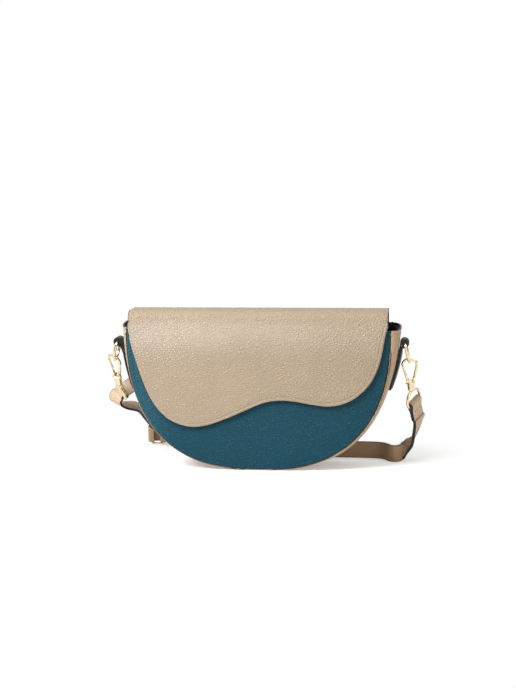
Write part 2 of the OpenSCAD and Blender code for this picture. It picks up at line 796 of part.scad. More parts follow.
function floor_point(i) = [floor_shares[i][0] * panel_w, floor_shares[i][1] * panel_w, floor_z];

// the link that joins the strap's two pieces stands beside the bag's left end
link_shares = [-0.47, 0.365];
link_room = 0.8;
link_half = strap_w / 2 + link_room + link_wire_r;
link_at = [link_shares[0] * panel_w, link_shares[1] * panel_w, link_half + link_wire_r + seat];
link_lay = link_wire_r + play + seat + strap_t / 2;

module strap_floor() {
    reach = fold_reach_share * panel_w;
    y0 = fold_y_share * panel_w;
    r = fold_pitch / 2;
    bend = [for (i = [0:fold_steps]) 180 * i / fold_steps];
    passes = concat(
        [[fold_lead - reach, y0]],
        [for (a = bend) [-reach - r * sin(a), y0 + r - r * cos(a)]],
        [for (s = [-1, 1]) [s * (reach - fold_lead), y0 + 2 * r]],
        [for (a = bend) [reach + r * sin(a), y0 + 3 * r - r * cos(a)]],
        [for (s = [1, -1]) [s * (reach - fold_lead), y0 + 4 * r]],
        [[-reach, y0 + 4 * r]]);
    rise_shares = [[0.28, 0.37, 0.1], [0.64, 0.76, 0.5], [0.87, 0.97, 0.9]];
    from = [-reach, y0 + 4 * r, floor_z];
    to = link_at + [link_l / 2, -link_lay, 0];
    color(strap_tan) strap_along([for (p = concat(
        [for (i = [0:len(floor_shares) - 1]) floor_point(i)],
        [for (q = passes) [q[0], q[1], floor_z]],
        [for (k = rise_shares) [for (i = [0:2]) from[i] + (to[i] - from[i]) * k[i]]],
        link_fold(1))) [p, [0, 0, 1]]]);
}

// the middle line of a strap end folded round one of the link's bars, from the front to the
// back round the right bar and from the back to the front round the left one
function link_fold(s) = concat(
    [for (a = [-90:45:90])
        link_at + [s * link_l / 2 - link_lay * cos(a), s * link_lay * sin(a), 0]],
    [link_at + [s * link_l / 2 + link_turn, s * link_lay, 0]]);
link_turn = 3.2;

// the two legs of the loop where they leave the swivel loop's bar
leg_l = 2.4;
leg_out = 1.2;
pass_drift = 0.5;

module strap_loop_left() {
    lay = eye_wire_r + play + strap_t / 2;
    wrap = [for (q = concat(
            [[-lay - leg_out / 2, -leg_l]],
            [for (a = [180:-45:0]) [lay * cos(a), lay * sin(a)]],
            [[lay + leg_out / 2, -leg_l]]))
        [eye_point(-1, [0, q[0], q[1] - eye_drop]), eye_turned(-1, [-1, 0, 0])]];
    behind = link_lay + strap_t + play;
    hook_end = eye_point(-1, [0, 0, -eye_drop]);
    color(strap_tan) strap_along(concat(
        route(link_at, hook_end, loop_a_shares),
        wrap,
        route(hook_end, link_at, loop_b_shares),
        [for (q = [[1, behind], [0.3, behind - pass_drift], [-0.55, link_lay + pass_drift]])
            [link_at + [q[0] * link_l / 2, q[1], 0], [0, 0, 1]]],
        [for (p = link_fold(-1)) [p, [0, 0, 1]]]));
}

module strap_link() {
    half = link_l / 2;
    corner_r = 2.2;
    color(pale_gold) translate(link_at)
        for (s = [0, 1])
            mirror([s, 0, 0]) {
                wire_rod([half, corner_r - link_half], [half, link_half - corner_r], link_wire_r);
                for (t = [0, 1])
                    mirror([0, 0, t]) {
                        translate([half - corner_r, 0, link_half - corner_r])
                            wire_arc(corner_r, link_wire_r, 0, 90);
                        wire_rod([0, link_half], [half - corner_r, link_half], link_wire_r);
                    }
            }
}

front_panel();
back_panel();
gusset();
front_lining();
back_lining();
gusset_lining();
inner_pocket();
body_magnet();
flap();
flap_lining();
flap_magnet();
flap_tongue();
tab(1);  // tab_right
tab(-1);  // tab_left
ring(1);  // ring_right
ring(-1);  // ring_left
hook(1);  // hook_right
hook(-1);  // hook_left
gate(1);  // gate_right
gate(-1);  // gate_left
gate_pin(1);  // gate_pin_right
gate_pin(-1);  // gate_pin_left
eye(1);  // eye_right
eye(-1);  // eye_left
strap_end_right();
strap_drop_right();
strap_floor();
strap_loop_left();
strap_link();
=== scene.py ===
# Looks of the half-moon saddle handbag: leather, lining, stitching, strap and plated hardware.
# Shapes are worked out in millimetres, in the frame of the CAD model, and stored in metres.
import math

import bmesh
import bpy
from mathutils import Matrix, Vector


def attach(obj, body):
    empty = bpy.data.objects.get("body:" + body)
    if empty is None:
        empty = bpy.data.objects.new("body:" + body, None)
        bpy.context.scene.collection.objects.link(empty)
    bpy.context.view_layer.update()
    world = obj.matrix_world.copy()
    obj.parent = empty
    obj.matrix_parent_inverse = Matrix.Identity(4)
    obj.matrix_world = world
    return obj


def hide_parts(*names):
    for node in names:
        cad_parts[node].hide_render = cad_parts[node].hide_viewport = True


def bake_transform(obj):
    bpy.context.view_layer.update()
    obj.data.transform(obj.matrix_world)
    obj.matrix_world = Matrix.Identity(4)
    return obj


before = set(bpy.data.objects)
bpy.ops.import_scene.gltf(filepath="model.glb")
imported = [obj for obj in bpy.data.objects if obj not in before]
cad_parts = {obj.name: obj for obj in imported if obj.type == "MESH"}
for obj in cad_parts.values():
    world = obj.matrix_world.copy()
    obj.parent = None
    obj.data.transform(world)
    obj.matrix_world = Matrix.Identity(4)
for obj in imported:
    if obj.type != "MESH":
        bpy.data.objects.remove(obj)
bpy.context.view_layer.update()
MM = 0.001

# sizes shared with the part's source
PANEL_W, RIM_H, BASE_D, MOUTH_D = 274.0, 148.0, 55.0, 43.0
OUTLINE_POWER = 2.5
LEATHER_T, LINING_T = 1.8, 1.0
SEAM_PROUD, LIFT = 1.0, 0.5
BOW, BOW_FROM = 8.5, 62.0
BOW_POWER, BOW_ROUND = 2.6, 0.65
FLAP_W, FLAP_TOP, FLAP_LOW, FLAP_T, FLAP_LINING_T = 270.0, 165.0, 46.0, 1.8, 1.2
FLAP_BEND_R, FLAP_GAP, HINGE_Z, TONGUE_H = 7.0, 0.5, 150.0, 34.0
TAB_W, TAB_T, TAB_FOOT_Z, TAB_LOOP_Z, TAB_HOLE_R, TAB_GAP = 15.5, 1.8, 82.0, 131.0, 2.9, 0.4
RING_L, RING_TILT = 20.0, 12.5
STRAP_W, STRAP_T, STRAP_END_L = 17.5, 2.0, 20.0
SEAT, PLAY, LINING_ROOM = 0.1, 0.3, 0.8
LEAN = math.atan((BASE_D - MOUTH_D) / 2 / RIM_H)
FLAP_ALL = FLAP_T + FLAP_LINING_T


# Colours and nodes
WHITE = (1, 1, 1, 1)


def srgb(r, g, b):
    """Linear colour of three 0 to 255 display values."""
    def lin(c):
        c /= 255
        return c / 12.92 if c <= 0.04045 else ((c + 0.055) / 1.055) ** 2.4
    return (lin(r), lin(g), lin(b), 1.0)


def node_of(tree, kind, **settings):
    """A node with its settings; a setting whose name is a socket's sets that socket."""
    n = tree.nodes.new(kind)
    for key, value in settings.items():
        if hasattr(n, key):
            setattr(n, key, value)
        else:
            n.inputs[key.replace("_", " ")].default_value = value
    return n


def maths(tree, operation, a, b):
    """The output of a maths node that takes two other outputs."""
    n = node_of(tree, "ShaderNodeMath", operation=operation)
    tree.links.new(a, n.inputs[0])
    tree.links.new(b, n.inputs[1])
    return n.outputs[0]


def mixed(tree, share, a, b):
    """The output of a mix of two shaders."""
    n = node_of(tree, "ShaderNodeMixShader")
    for source, target in zip((share, a, b), n.inputs):
        tree.links.new(source, target)
    return n.outputs[0]


def emptied_tree(owner):
    """The node tree of a material or a world, with nothing in it yet."""
    owner.use_nodes = True
    owner.node_tree.nodes.clear()
    return owner.node_tree


# Camera and light
scene = bpy.context.scene
scene.view_settings.view_transform = "Standard"

# where the photograph was taken from, in metres
CAMERA_PLACE = Vector((0.16703, -1.48817, 0.3256))
CAMERA_RIGHT = Vector((0.99366, 0.11206, -0.00865))
CAMERA_UP = Vector((-0.00611, 0.13067, 0.9914))
CAMERA_AHEAD = Vector((-0.11223, 0.98507, -0.13053))

camera_data = bpy.data.cameras.new("camera")
camera_data.sensor_fit = "HORIZONTAL"
camera_data.sensor_width = 36
camera_data.lens = 101.1
camera_data.clip_start = 0.05
camera = bpy.data.objects.new("camera", camera_data)
camera_turn = Matrix((CAMERA_RIGHT, CAMERA_UP, -CAMERA_AHEAD)).transposed().to_4x4()
camera.matrix_world = Matrix.Translation(CAMERA_PLACE) @ camera_turn
scene.collection.objects.link(camera)
scene.camera = camera


def area_light(name, place, aim, size, power, colour=(1, 1, 1)):
    """A rectangular lamp at a place, turned to its aim."""
    data = bpy.data.lights.new(name, "AREA")
    data.shape = "RECTANGLE"
    data.size, data.size_y = size
    data.energy = power
    data.color = colour
    light = bpy.data.objects.new(name, data)
    turn = (Vector(aim) - Vector(place)).to_track_quat("-Z", "Y").to_matrix().to_4x4()
    light.matrix_world = Matrix.Translation(place) @ turn
    scene.collection.objects.link(light)


area_light("key_softbox", (-0.75, -0.78, 1.12), (0, 0, 0.1), (0.7, 0.7), 29)
area_light("fill_softbox", (1.3, -1.0, 0.5), (0, 0, 0.08), (0.8, 1.0), 5, (1, 0.92, 0.82))
area_light("top_softbox", (0.1, 0.5, 1.7), (0, 0, 0.05), (1.6, 1.2), 5)


def light_studio(tree):
    """The surroundings: white where seen, dimmer as light, and a studio with a dim horizon in gloss."""
    link = tree.links.new
    rays = node_of(tree, "ShaderNodeLightPath")
    ambient = node_of(tree, "ShaderNodeBackground", Color=WHITE, Strength=0.34)
    seen = node_of(tree, "ShaderNodeBackground", Color=WHITE, Strength=1.0)
    mirrored = node_of(tree, "ShaderNodeBackground", Color=(1, 0.95, 0.88, 1))
    compass = node_of(tree, "ShaderNodeTexCoord")
    axes = node_of(tree, "ShaderNodeSeparateXYZ")
    height = node_of(tree, "ShaderNodeMath", operation="ABSOLUTE")
    band = node_of(tree, "ShaderNodeMapRange", interpolation_type="SMOOTHSTEP",
                   From_Min=0.08, From_Max=0.42, To_Min=0.04, To_Max=1.15)
    link(compass.outputs["Generated"], axes.inputs[0])
    link(axes.outputs["Z"], height.inputs[0])
    link(height.outputs[0], band.inputs["Value"])
    link(band.outputs[0], mirrored.inputs["Strength"])
    straight = maths(tree, "MAXIMUM", rays.outputs["Is Camera Ray"], rays.outputs["Is Transmission Ray"])
    plain = mixed(tree, straight, ambient.outputs[0], seen.outputs[0])
    whole = mixed(tree, rays.outputs["Is Glossy Ray"], plain, mirrored.outputs[0])
    link(whole, node_of(tree, "ShaderNodeOutputWorld").inputs[0])


scene.world = bpy.data.worlds.new("studio")
light_studio(emptied_tree(scene.world))


# Floor
def light_floor(tree):
    """A white floor that holds the bag's shadow and, farther off, is as white as the background."""
    link = tree.links.new
    rays = node_of(tree, "ShaderNodeLightPath")
    dull = node_of(tree, "ShaderNodeBsdfDiffuse", Color=(0.9, 0.9, 0.9, 1))
    glow = node_of(tree, "ShaderNodeEmission", Color=WHITE, Strength=0.3)
    dark = node_of(tree, "ShaderNodeEmission", Color=WHITE, Strength=0.0)
    near = node_of(tree, "ShaderNodeAddShader")
    link(dull.outputs[0], near.inputs[0])
    link(mixed(tree, rays.outputs["Is Camera Ray"], dark.outputs[0], glow.outputs[0]), near.inputs[1])
    where = node_of(tree, "ShaderNodeTexCoord")
    far = node_of(tree, "ShaderNodeVectorMath", operation="LENGTH")
    blend = node_of(tree, "ShaderNodeMapRange", interpolation_type="SMOOTHSTEP", From_Min=0.12, From_Max=0.25)
    link(where.outputs["Object"], far.inputs[0])
    link(far.outputs["Value"], blend.inputs["Value"])
    looked_at = maths(tree, "MAXIMUM", rays.outputs["Is Camera Ray"], rays.outputs["Is Glossy Ray"])
    share = maths(tree, "MULTIPLY", blend.outputs[0], looked_at)
    white = node_of(tree, "ShaderNodeEmission", Color=WHITE, Strength=1.0)
    whole = mixed(tree, share, near.outputs[0], white.outputs[0])
    link(whole, node_of(tree, "ShaderNodeOutputMaterial").inputs[0])


floor_mat = bpy.data.materials.new("white_floor")
light_floor(emptied_tree(floor_mat))
floor_bm = bmesh.new()
bmesh.ops.create_grid(floor_bm, x_segments=1, y_segments=1, size=8)
floor_mesh = bpy.data.meshes.new("floor")
floor_bm.to_mesh(floor_mesh)
floor_bm.free()
floor_mesh.materials.append(floor_mat)
floor = bpy.data.objects.new("floor", floor_mesh)
scene.collection.objects.link(floor)


# Materials
GRAIN_INPUTS = (("Colour", "NodeSocketColor", (0.5, 0.5, 0.5, 1)),
                ("Pebbles per metre", "NodeSocketFloat", 420),
                ("Grain depth", "NodeSocketFloat", 0.00022),
                ("Crease shade", "NodeSocketFloat", 0.78),
                ("Roughness", "NodeSocketFloat", 0.5))
GRAIN_OUTPUTS = (("Colour", "NodeSocketColor"), ("Roughness", "NodeSocketFloat"),
                 ("Height", "NodeSocketFloat"))
# a noise's shift of the pebbles in metres, the fine grain's part of the height, a dome's lower roughness
PEBBLE_WARP, FINE_PART, DOME_GLOSS = 0.0011, 0.05, -0.1


def grain_group():
    """Leather: rounded pebbles parted by creases, from the object's own coordinates."""
    g = bpy.data.node_groups.new("leather_grain", "ShaderNodeTree")
    for name, kind, value in GRAIN_INPUTS:
        g.interface.new_socket(name, in_out="INPUT", socket_type=kind).default_value = value
    for name, kind in GRAIN_OUTPUTS:
        g.interface.new_socket(name, in_out="OUTPUT", socket_type=kind)
    link = g.links.new
    given = node_of(g, "NodeGroupInput")
    result = node_of(g, "NodeGroupOutput")
    where = node_of(g, "ShaderNodeTexCoord")
    warp = node_of(g, "ShaderNodeTexNoise", Scale=420.0, Detail=2.0)
    shift = node_of(g, "ShaderNodeVectorMath", operation="MULTIPLY_ADD")
    shift.inputs[1].default_value = [PEBBLE_WARP] * 3
    link(where.outputs["Object"], warp.inputs["Vector"])
    link(warp.outputs["Color"], shift.inputs[0])
    link(where.outputs["Object"], shift.inputs[2])
    cells = node_of(g, "ShaderNodeTexVoronoi", feature="DISTANCE_TO_EDGE")
    wider = node_of(g, "ShaderNodeMapping", Scale=(0.85, 1, 1.1))
    link(shift.outputs[0], wider.inputs["Vector"])
    link(wider.outputs[0], cells.inputs["Vector"])
    link(given.outputs["Pebbles per metre"], cells.inputs["Scale"])
    dome = node_of(g, "ShaderNodeMapRange", interpolation_type="SMOOTHSTEP", From_Max=0.5)
    link(cells.outputs["Distance"], dome.inputs["Value"])
    fine = node_of(g, "ShaderNodeTexNoise", Scale=2600.0, Detail=3.0)
    link(where.outputs["Object"], fine.inputs["Vector"])
    fine_part = node_of(g, "ShaderNodeMath", operation="MULTIPLY_ADD")
    fine_part.inputs[1].default_value = FINE_PART
    link(fine.outputs["Fac"], fine_part.inputs[0])
    link(dome.outputs[0], fine_part.inputs[2])
    link(maths(g, "MULTIPLY", fine_part.outputs[0], given.outputs["Grain depth"]), result.inputs["Height"])
    broad = node_of(g, "ShaderNodeTexNoise", Scale=22.0, Detail=3.0)
    link(where.outputs["Object"], broad.inputs["Vector"])
    tone = node_of(g, "ShaderNodeMapRange", From_Min=0.3, From_Max=0.7, To_Min=0.955, To_Max=1.03)
    link(broad.outputs["Fac"], tone.inputs["Value"])
    # the creases between the pebbles are darkened by the crease shade: painted shade
    crease_painted_shade = node_of(g, "ShaderNodeMapRange", To_Max=1.0)
    link(dome.outputs[0], crease_painted_shade.inputs["Value"])
    link(given.outputs["Crease shade"], crease_painted_shade.inputs["To Min"])
    tint = node_of(g, "ShaderNodeVectorMath", operation="SCALE")
    link(given.outputs["Colour"], tint.inputs[0])
    link(maths(g, "MULTIPLY", tone.outputs[0], crease_painted_shade.outputs[0]), tint.inputs["Scale"])
    link(tint.outputs[0], result.inputs["Colour"])
    rough = node_of(g, "ShaderNodeMath", operation="MULTIPLY_ADD")
    rough.inputs[1].default_value = DOME_GLOSS
    link(dome.outputs[0], rough.inputs[0])
    link(given.outputs["Roughness"], rough.inputs[2])
    link(rough.outputs[0], result.inputs["Roughness"])
    return g


grain = grain_group()


def bare_material(name):
    """A material with one plain surface, its node tree and that surface."""
    mat = bpy.data.materials.new(name)
    tree = emptied_tree(mat)
    out = node_of(tree, "ShaderNodeOutputMaterial")
    skin = node_of(tree, "ShaderNodeBsdfPrincipled")
    tree.links.new(skin.outputs[0], out.inputs[0])
    return mat, tree, skin


def faded_share(tree, fades):
    """The product of fades along the object's axes, each (axis, from, to, share at from, share at to);
    from and to are metres."""
    where = node_of(tree, "ShaderNodeTexCoord")
    axes = node_of(tree, "ShaderNodeSeparateXYZ")
    tree.links.new(where.outputs["Object"], axes.inputs[0])
    share = None
    for axis, low, high, at_low, at_high in fades:
        fade = node_of(tree, "ShaderNodeMapRange", interpolation_type="SMOOTHSTEP",
                       From_Min=low, From_Max=high, To_Min=at_low, To_Max=at_high)
        tree.links.new(axes.outputs[axis], fade.inputs["Value"])
        share = maths(tree, "MULTIPLY", share, fade.outputs[0]) if share else fade.outputs[0]
    return share


def leather(name, colour, pebbles, depth, shade, rough=0.55, gloss=0.3, painted_light_tone=None):
    """Grained leather; its last argument is a tone of painted light or shade and the fades that say where it
    shows.
    """
    mat, tree, skin = bare_material(name)
    skin.inputs["Specular IOR Level"].default_value = gloss
    g = node_of(tree, "ShaderNodeGroup", node_tree=grain, Colour=colour, Pebbles_per_metre=pebbles,
                Grain_depth=depth, Crease_shade=shade, Roughness=rough)
    if painted_light_tone:
        tone = node_of(tree, "ShaderNodeMix", data_type="RGBA")
        tone.inputs["A"].default_value, tone.inputs["B"].default_value = colour, painted_light_tone[0]
        tree.links.new(faded_share(tree, painted_light_tone[1]), tone.inputs["Factor"])
        tree.links.new(tone.outputs["Result"], g.inputs["Colour"])
    bump = node_of(tree, "ShaderNodeBump", Strength=1.0, Distance=1.0)
    tree.links.new(g.outputs["Height"], bump.inputs["Height"])
    tree.links.new(g.outputs["Colour"], skin.inputs["Base Color"])
    tree.links.new(g.outputs["Roughness"], skin.inputs["Roughness"])
    tree.links.new(bump.outputs[0], skin.inputs["Normal"])
    return mat


def two_toned(tree, skin, colour, shade, pattern, strength, depth):
    """A pattern's output tints the colour, darker by shade where it is low, and raises the surface."""
    tone = node_of(tree, "ShaderNodeMix", data_type="RGBA")
    tone.inputs["A"].default_value = [c * shade for c in colour[:3]] + [1]
    tone.inputs["B"].default_value = colour
    tree.links.new(pattern, tone.inputs["Factor"])
    tree.links.new(tone.outputs["Result"], skin.inputs["Base Color"])
    bump = node_of(tree, "ShaderNodeBump", Strength=strength, Distance=depth)
    tree.links.new(pattern, bump.inputs["Height"])
    tree.links.new(bump.outputs[0], skin.inputs["Normal"])


def noisy(name, colour, rough, spread, scale, depth, metal=0.0, shade=0.9):
    """A finish whose colour, gloss and surface vary a little with a noise."""
    mat, tree, skin = bare_material(name)
    skin.inputs["Metallic"].default_value = metal
    where = node_of(tree, "ShaderNodeTexCoord")
    noise = node_of(tree, "ShaderNodeTexNoise", Scale=scale, Detail=4.0)
    tree.links.new(where.outputs["Object"], noise.inputs["Vector"])
    rough_range = node_of(tree, "ShaderNodeMapRange", From_Min=0.3, From_Max=0.7,
                          To_Min=rough - spread, To_Max=rough + spread)
    tree.links.new(noise.outputs["Fac"], rough_range.inputs["Value"])
    tree.links.new(rough_range.outputs[0], skin.inputs["Roughness"])
    two_toned(tree, skin, colour, shade, noise.outputs["Fac"], 1.0, depth)
    return mat


# threads per metre, by the wave texture's bands to a unit of scale
THREAD_SCALE = 1400.0 / 6.28


def woven(name, colour):
    """Cloth of two crossed rows of threads."""
    mat, tree, skin = bare_material(name)
    skin.inputs["Roughness"].default_value = 0.85
    skin.inputs["Sheen Weight"].default_value = 0.15
    where = node_of(tree, "ShaderNodeTexCoord")
    rows = []
    for axis in ("X", "Z"):
        threads = node_of(tree, "ShaderNodeTexWave", bands_direction=axis, Scale=THREAD_SCALE, Distortion=0.4)
        tree.links.new(where.outputs["Object"], threads.inputs["Vector"])
        rows.append(threads.outputs["Fac"])
    two_toned(tree, skin, colour, 0.6, maths(tree, "MULTIPLY", *rows), 0.6, 0.00012)
    return mat


# painted highlights of the key lamp at the left: the teal is paler at the left, the taupe between the flap's
# front and its bend, most of all at the left
teal = leather("teal_pebbled_leather", srgb(0, 67, 85), 400, 0.0006, 0.8, rough=0.52, gloss=0.24,
               painted_light_tone=(srgb(30, 84, 101), [("X", -0.125, -0.085, 1, 0)]))
taupe = leather("taupe_pebbled_leather", srgb(173, 154, 130), 400, 0.0006, 0.8, rough=0.5, gloss=0.42,
                painted_light_tone=(srgb(183, 168, 150), [("Z", 0.112, 0.138, 0, 1), ("Z", 0.15, 0.16, 1, 0),
                                              ("X", -0.12, 0.12, 1, 0.4)]))
# the gusset is the flap's taupe leather, drawn lighter and warmer as painted warm bounce light
gusset_face_painted_light = leather("taupe_gusset_leather_painted_light", srgb(191, 163, 132), 420, 0.0003, 0.92, gloss=0.4)
# the strap is darker where it nears the floor: painted shade
strap_face = leather("strap_leather", srgb(202, 179, 149), 900, 0.00010, 0.88,
                     painted_light_tone=(srgb(164, 136, 106), [("Z", 0.014, 0.042, 1, 0)]))
dark_teal = leather("dark_teal_leather", srgb(44, 66, 74), 900, 0.00008, 0.85, rough=0.5)
edge_paint = noisy("black_edge_paint", srgb(24, 21, 20), 0.38, 0.08, 700.0, 0.00006)
thread_taupe = noisy("taupe_thread", srgb(150, 128, 100), 0.7, 0.05, 2500.0, 0.00005)
thread_dark = noisy("dark_thread", srgb(26, 58, 70), 0.7, 0.05, 2500.0, 0.00005)
gold = noisy("pale_gold_plating", srgb(246, 226, 186), 0.11, 0.03, 900.0, 0.000004, metal=1.0, shade=0.95)
steel = noisy("nickel_disc", srgb(170, 170, 174), 0.3, 0.08, 500.0, 0.00001, metal=1.0)
lining_cloth = woven("dark_lining_cloth", srgb(46, 54, 58))


# Making pieces
# degrees past which an edge is rounded, or looks sharp; and how near corners are merged, in metres
BEVEL_ANGLE, SHARP, WELD = 50, 38, 2e-5
HEART = Vector((0, 0, 80)) * MM


def piece(name, bm, body, mats, thick=0.0, edge=0.0, replaced=(), auto=None):
    """A finished piece from its mesh. mats are its face, its cut edge and its inner face, then the
    same three for a painted border. thick and edge are in millimetres; faces that meet at less
    than auto degrees look smooth."""
    if auto:
        bmesh.ops.recalc_face_normals(bm, faces=bm.faces)
    mesh = bpy.data.meshes.new(name)
    bm.to_mesh(mesh)
    bm.free()
    for p in mesh.polygons:
        p.use_smooth = True
    for m in mats:
        mesh.materials.append(m)
    if auto:
        mesh.set_sharp_from_angle(angle=math.radians(auto))
    obj = bpy.data.objects.new(name, mesh)
    scene.collection.objects.link(obj)
    if thick:
        shell = obj.modifiers.new("thickness", "SOLIDIFY")
        shell.thickness = thick * MM
        shell.offset = 0
        shell.material_offset_rim = min(1, len(mats) - 1)
        shell.material_offset = 2 if len(mats) > 2 else 0
    if edge:
        round_off = obj.modifiers.new("rounded_edge", "BEVEL")
        round_off.width = edge * MM
        round_off.segments = 2
        round_off.limit_method = "ANGLE"
        round_off.angle_limit = math.radians(BEVEL_ANGLE)
        round_off.use_clamp_overlap = True
    if replaced:
        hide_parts(*replaced)
    if body:
        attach(obj, body)
    return obj


def lattice(columns, rows, place):
    """A sheet of columns by rows corners; place(i, k) says in millimetres where each one goes."""
    bm = bmesh.new()
    bmesh.ops.create_grid(bm, x_segments=columns - 1, y_segments=rows - 1, size=0.5)
    for v in bm.verts:
        i = round((v.co.x + 0.5) * (columns - 1))
        k = round((v.co.y + 0.5) * (rows - 1))
        v.co = Vector(place(i, k)) * MM
    bmesh.ops.remove_doubles(bm, verts=bm.verts, dist=WELD)
    return bm


def grid(across, along, place):
    """A lattice whose corners are put where place(u, v) says; across and along are lists from 0 to 1."""
    return lattice(len(across), len(along), lambda i, k: place(across[i], along[k]))


def face_out(bm):
    """Turns a sheet's faces so that they look away from the bag's heart."""
    bm.normal_update()
    if sum(f.normal.dot(f.calc_center_median() - HEART) * f.calc_area() for f in bm.faces) < 0:
        bmesh.ops.reverse_faces(bm, faces=bm.faces[:])


def even(n):
    """Shares from 0 to 1 in n even steps."""
    return [i / n for i in range(n + 1)]


def smooth_step(t):
    """Rises smoothly from 0 at t of 0 to 1 at t of 1."""
    t = min(1, max(0, t))
    return t * t * (3 - 2 * t)


def hump(t):
    """A rounded hump of height 1 about 0."""
    return math.exp(-t ** 2)


def resample(points, shares):
    """Points of a polyline at shares of its length."""
    points = [Vector(p) for p in points]
    lengths = [0]
    for a, b in zip(points, points[1:]):
        lengths.append(lengths[-1] + (b - a).length)
    found, k = [], 0
    for s in shares:
        want = s * lengths[-1]
        while k < len(points) - 2 and lengths[k + 1] < want:
            k += 1
        span = lengths[k + 1] - lengths[k]
        found.append(points[k].lerp(points[k + 1], (want - lengths[k]) / span if span else 0))
    return found


def curve(p, steps):
    """A smooth curve that goes through all the points."""
    found = []
    for i in range(len(p) - 1):
        a, b, c, d = p[max(i - 1, 0)], p[i], p[i + 1], p[min(i + 2, len(p) - 1)]
        bent, twisted = a * 2 - b * 5 + c * 4 - d, b * 3 - c * 3 + d - a
        for t in even(steps)[:-1]:
            found.append((b * 2 + (c - a) * t + bent * t * t + twisted * t ** 3) / 2)
    return found + [p[-1]]


STITCH_L, STITCH_R, STITCH_FLAT, STITCH_PITCH = 2.7, 0.34, 0.8, 3.9


def stitches(name, lines, body, mat):
    """Sewn threads along lines; each line is a list of (point, outward direction)."""
    size = Matrix.Diagonal((STITCH_L / 2, STITCH_R, STITCH_R * STITCH_FLAT, 1))
    lay_down = Matrix.Rotation(math.pi / 2, 4, "Y")
    bm = bmesh.new()
    for line in lines:
        pts = [Vector(p) for p, n in line]
        total = sum((b - a).length for a, b in zip(pts, pts[1:]))
        count = max(2, round(total / STITCH_PITCH))
        mids = resample(pts, [(i + 0.5) / count for i in range(count)])
        aheads = resample(pts, [min(1, (i + 0.6) / count) for i in range(count)])
        for mid, ahead in zip(mids, aheads):
            near = min(range(len(pts)), key=lambda k: (pts[k] - mid).length_squared)
            out = Vector(line[near][1]).normalized()
            along = (ahead - mid).normalized()
            turn = Matrix((along, out.cross(along).normalized(), out)).transposed().to_4x4()
            place = Matrix.Scale(MM, 4) @ Matrix.Translation(mid) @ turn @ size @ lay_down
            bmesh.ops.create_uvsphere(bm, u_segments=6, v_segments=4, radius=1, matrix=place)
    return piece(name, bm, body, [mat])


# The body's shape
def half_depth(z):
    """Half the body's depth at height z."""
    return BASE_D / 2 - z * math.tan(LEAN)


def half_width(z, grow):
    """Half the outline's width at height z, grown by grow."""
    down = (RIM_H - z) / (RIM_H - LIFT + grow)
    return (PANEL_W / 2 + grow) * (1 - down ** OUTLINE_POWER) ** (1 / OUTLINE_POWER)


def moon(grow, turn, top=RIM_H):
    """The half-moon outline grown by grow; turn runs from 0 at the rim's right end to 180."""
    c, s = math.cos(math.radians(turn)), max(0, math.sin(math.radians(turn)))
    x = math.copysign((PANEL_W / 2 + grow) * abs(c) ** (2 / OUTLINE_POWER), c)
    return x, top - (top - LIFT + grow) * s ** (2 / OUTLINE_POWER)


FINE_TURNS = 3000


def even_turns(steps, extra=()):
    """Turns at even distances along the outline, as shares of 180, with a few extra near both ends."""
    fine = even(FINE_TURNS)
    pts = [moon(0, 180 * f) for f in fine]
    lengths = [0]
    for a, b in zip(pts, pts[1:]):
        lengths.append(lengths[-1] + math.dist(a, b))
    wanted = sorted({round(lengths[-1] * i / steps, 3) for i in range(steps + 1)}
                    | set(extra) | {round(lengths[-1] - e, 3) for e in extra})
    turns, k = [], 0
    for w in wanted:
        while k < len(lengths) - 2 and lengths[k + 1] < w:
            k += 1
        f = (w - lengths[k]) / (lengths[k + 1] - lengths[k])
        turns.append(fine[k] + f / FINE_TURNS)
    turns[-1] = 1.0
    return turns


def inside(x, z):
    """0 on the half-moon's outline and outside it, 1 at the middle of the rim."""
    across = abs(x / (PANEL_W / 2)) ** OUTLINE_POWER
    return max(0, 1 - across - max(0, (RIM_H - z) / (RIM_H - LIFT)) ** OUTLINE_POWER)


# the soft front and back swell, and fade to flat between SWELL_TOP - SWELL_FADE and SWELL_TOP
SWELL, SWELL_TOP, SWELL_FADE = 4.2, 158, 26
# the mouth's soft corners rise or sink from CORNER_X outwards and CORNER_Z upwards
CORNER_X, CORNER_X_FADE, CORNER_Z, CORNER_Z_FADE = 112, 22, 118, 30
LEFT_LIFT, RIGHT_LIFT, BACK_LIFT = 2.0, -0.6, 2.1
# the gusset's seam edge shows past the front panel's below the bag and at its right
SHOWN_FROM, SHOWN_FADE, PANEL_IN, RIGHT_IN = -75, 50, 0.9, 1.0
# a panel ends FLOOR_ROOM above the floor, and its rows lie a little closer toward the rim
FLOOR_ROOM, ROW_POWER = 0.02, 1.15
# widths of the painted borders, and of the rounded edges
FRONT_BORDER, BACK_BORDER, GUSSET_BORDER, FLAP_BORDER = 0.35, 0.6, 0.5, 0.45
LEATHER_EDGE, FLAP_EDGE, STRAP_EDGE, CLOTH_EDGE = 0.3, 0.35, 0.4, 0.2


def swell(x, z):
    """How far the soft front and back swell out between the seams and the rim."""
    f = inside(x, z)
    return SWELL * (1 - (1 - f) ** 2) * smooth_step((SWELL_TOP - z) / SWELL_FADE)


def corner_lift(x, z, t):
    """How far the mouth's soft corners rise; t is -1 at the front seam and 1 at the back one."""
    corner = smooth_step((abs(x) - CORNER_X) / CORNER_X_FADE) * smooth_step((z - CORNER_Z) / CORNER_Z_FADE)
    return corner * ((LEFT_LIFT if x < 0 else RIGHT_LIFT) + BACK_LIFT * t)


def skin(side, x, z, off):
    """A point off millimetres outside the front (side -1) or back (side 1) panel's face."""
    return (x, side * (half_depth(z) + off / math.cos(LEAN) + swell(x, z)), z + corner_lift(x, z, side))


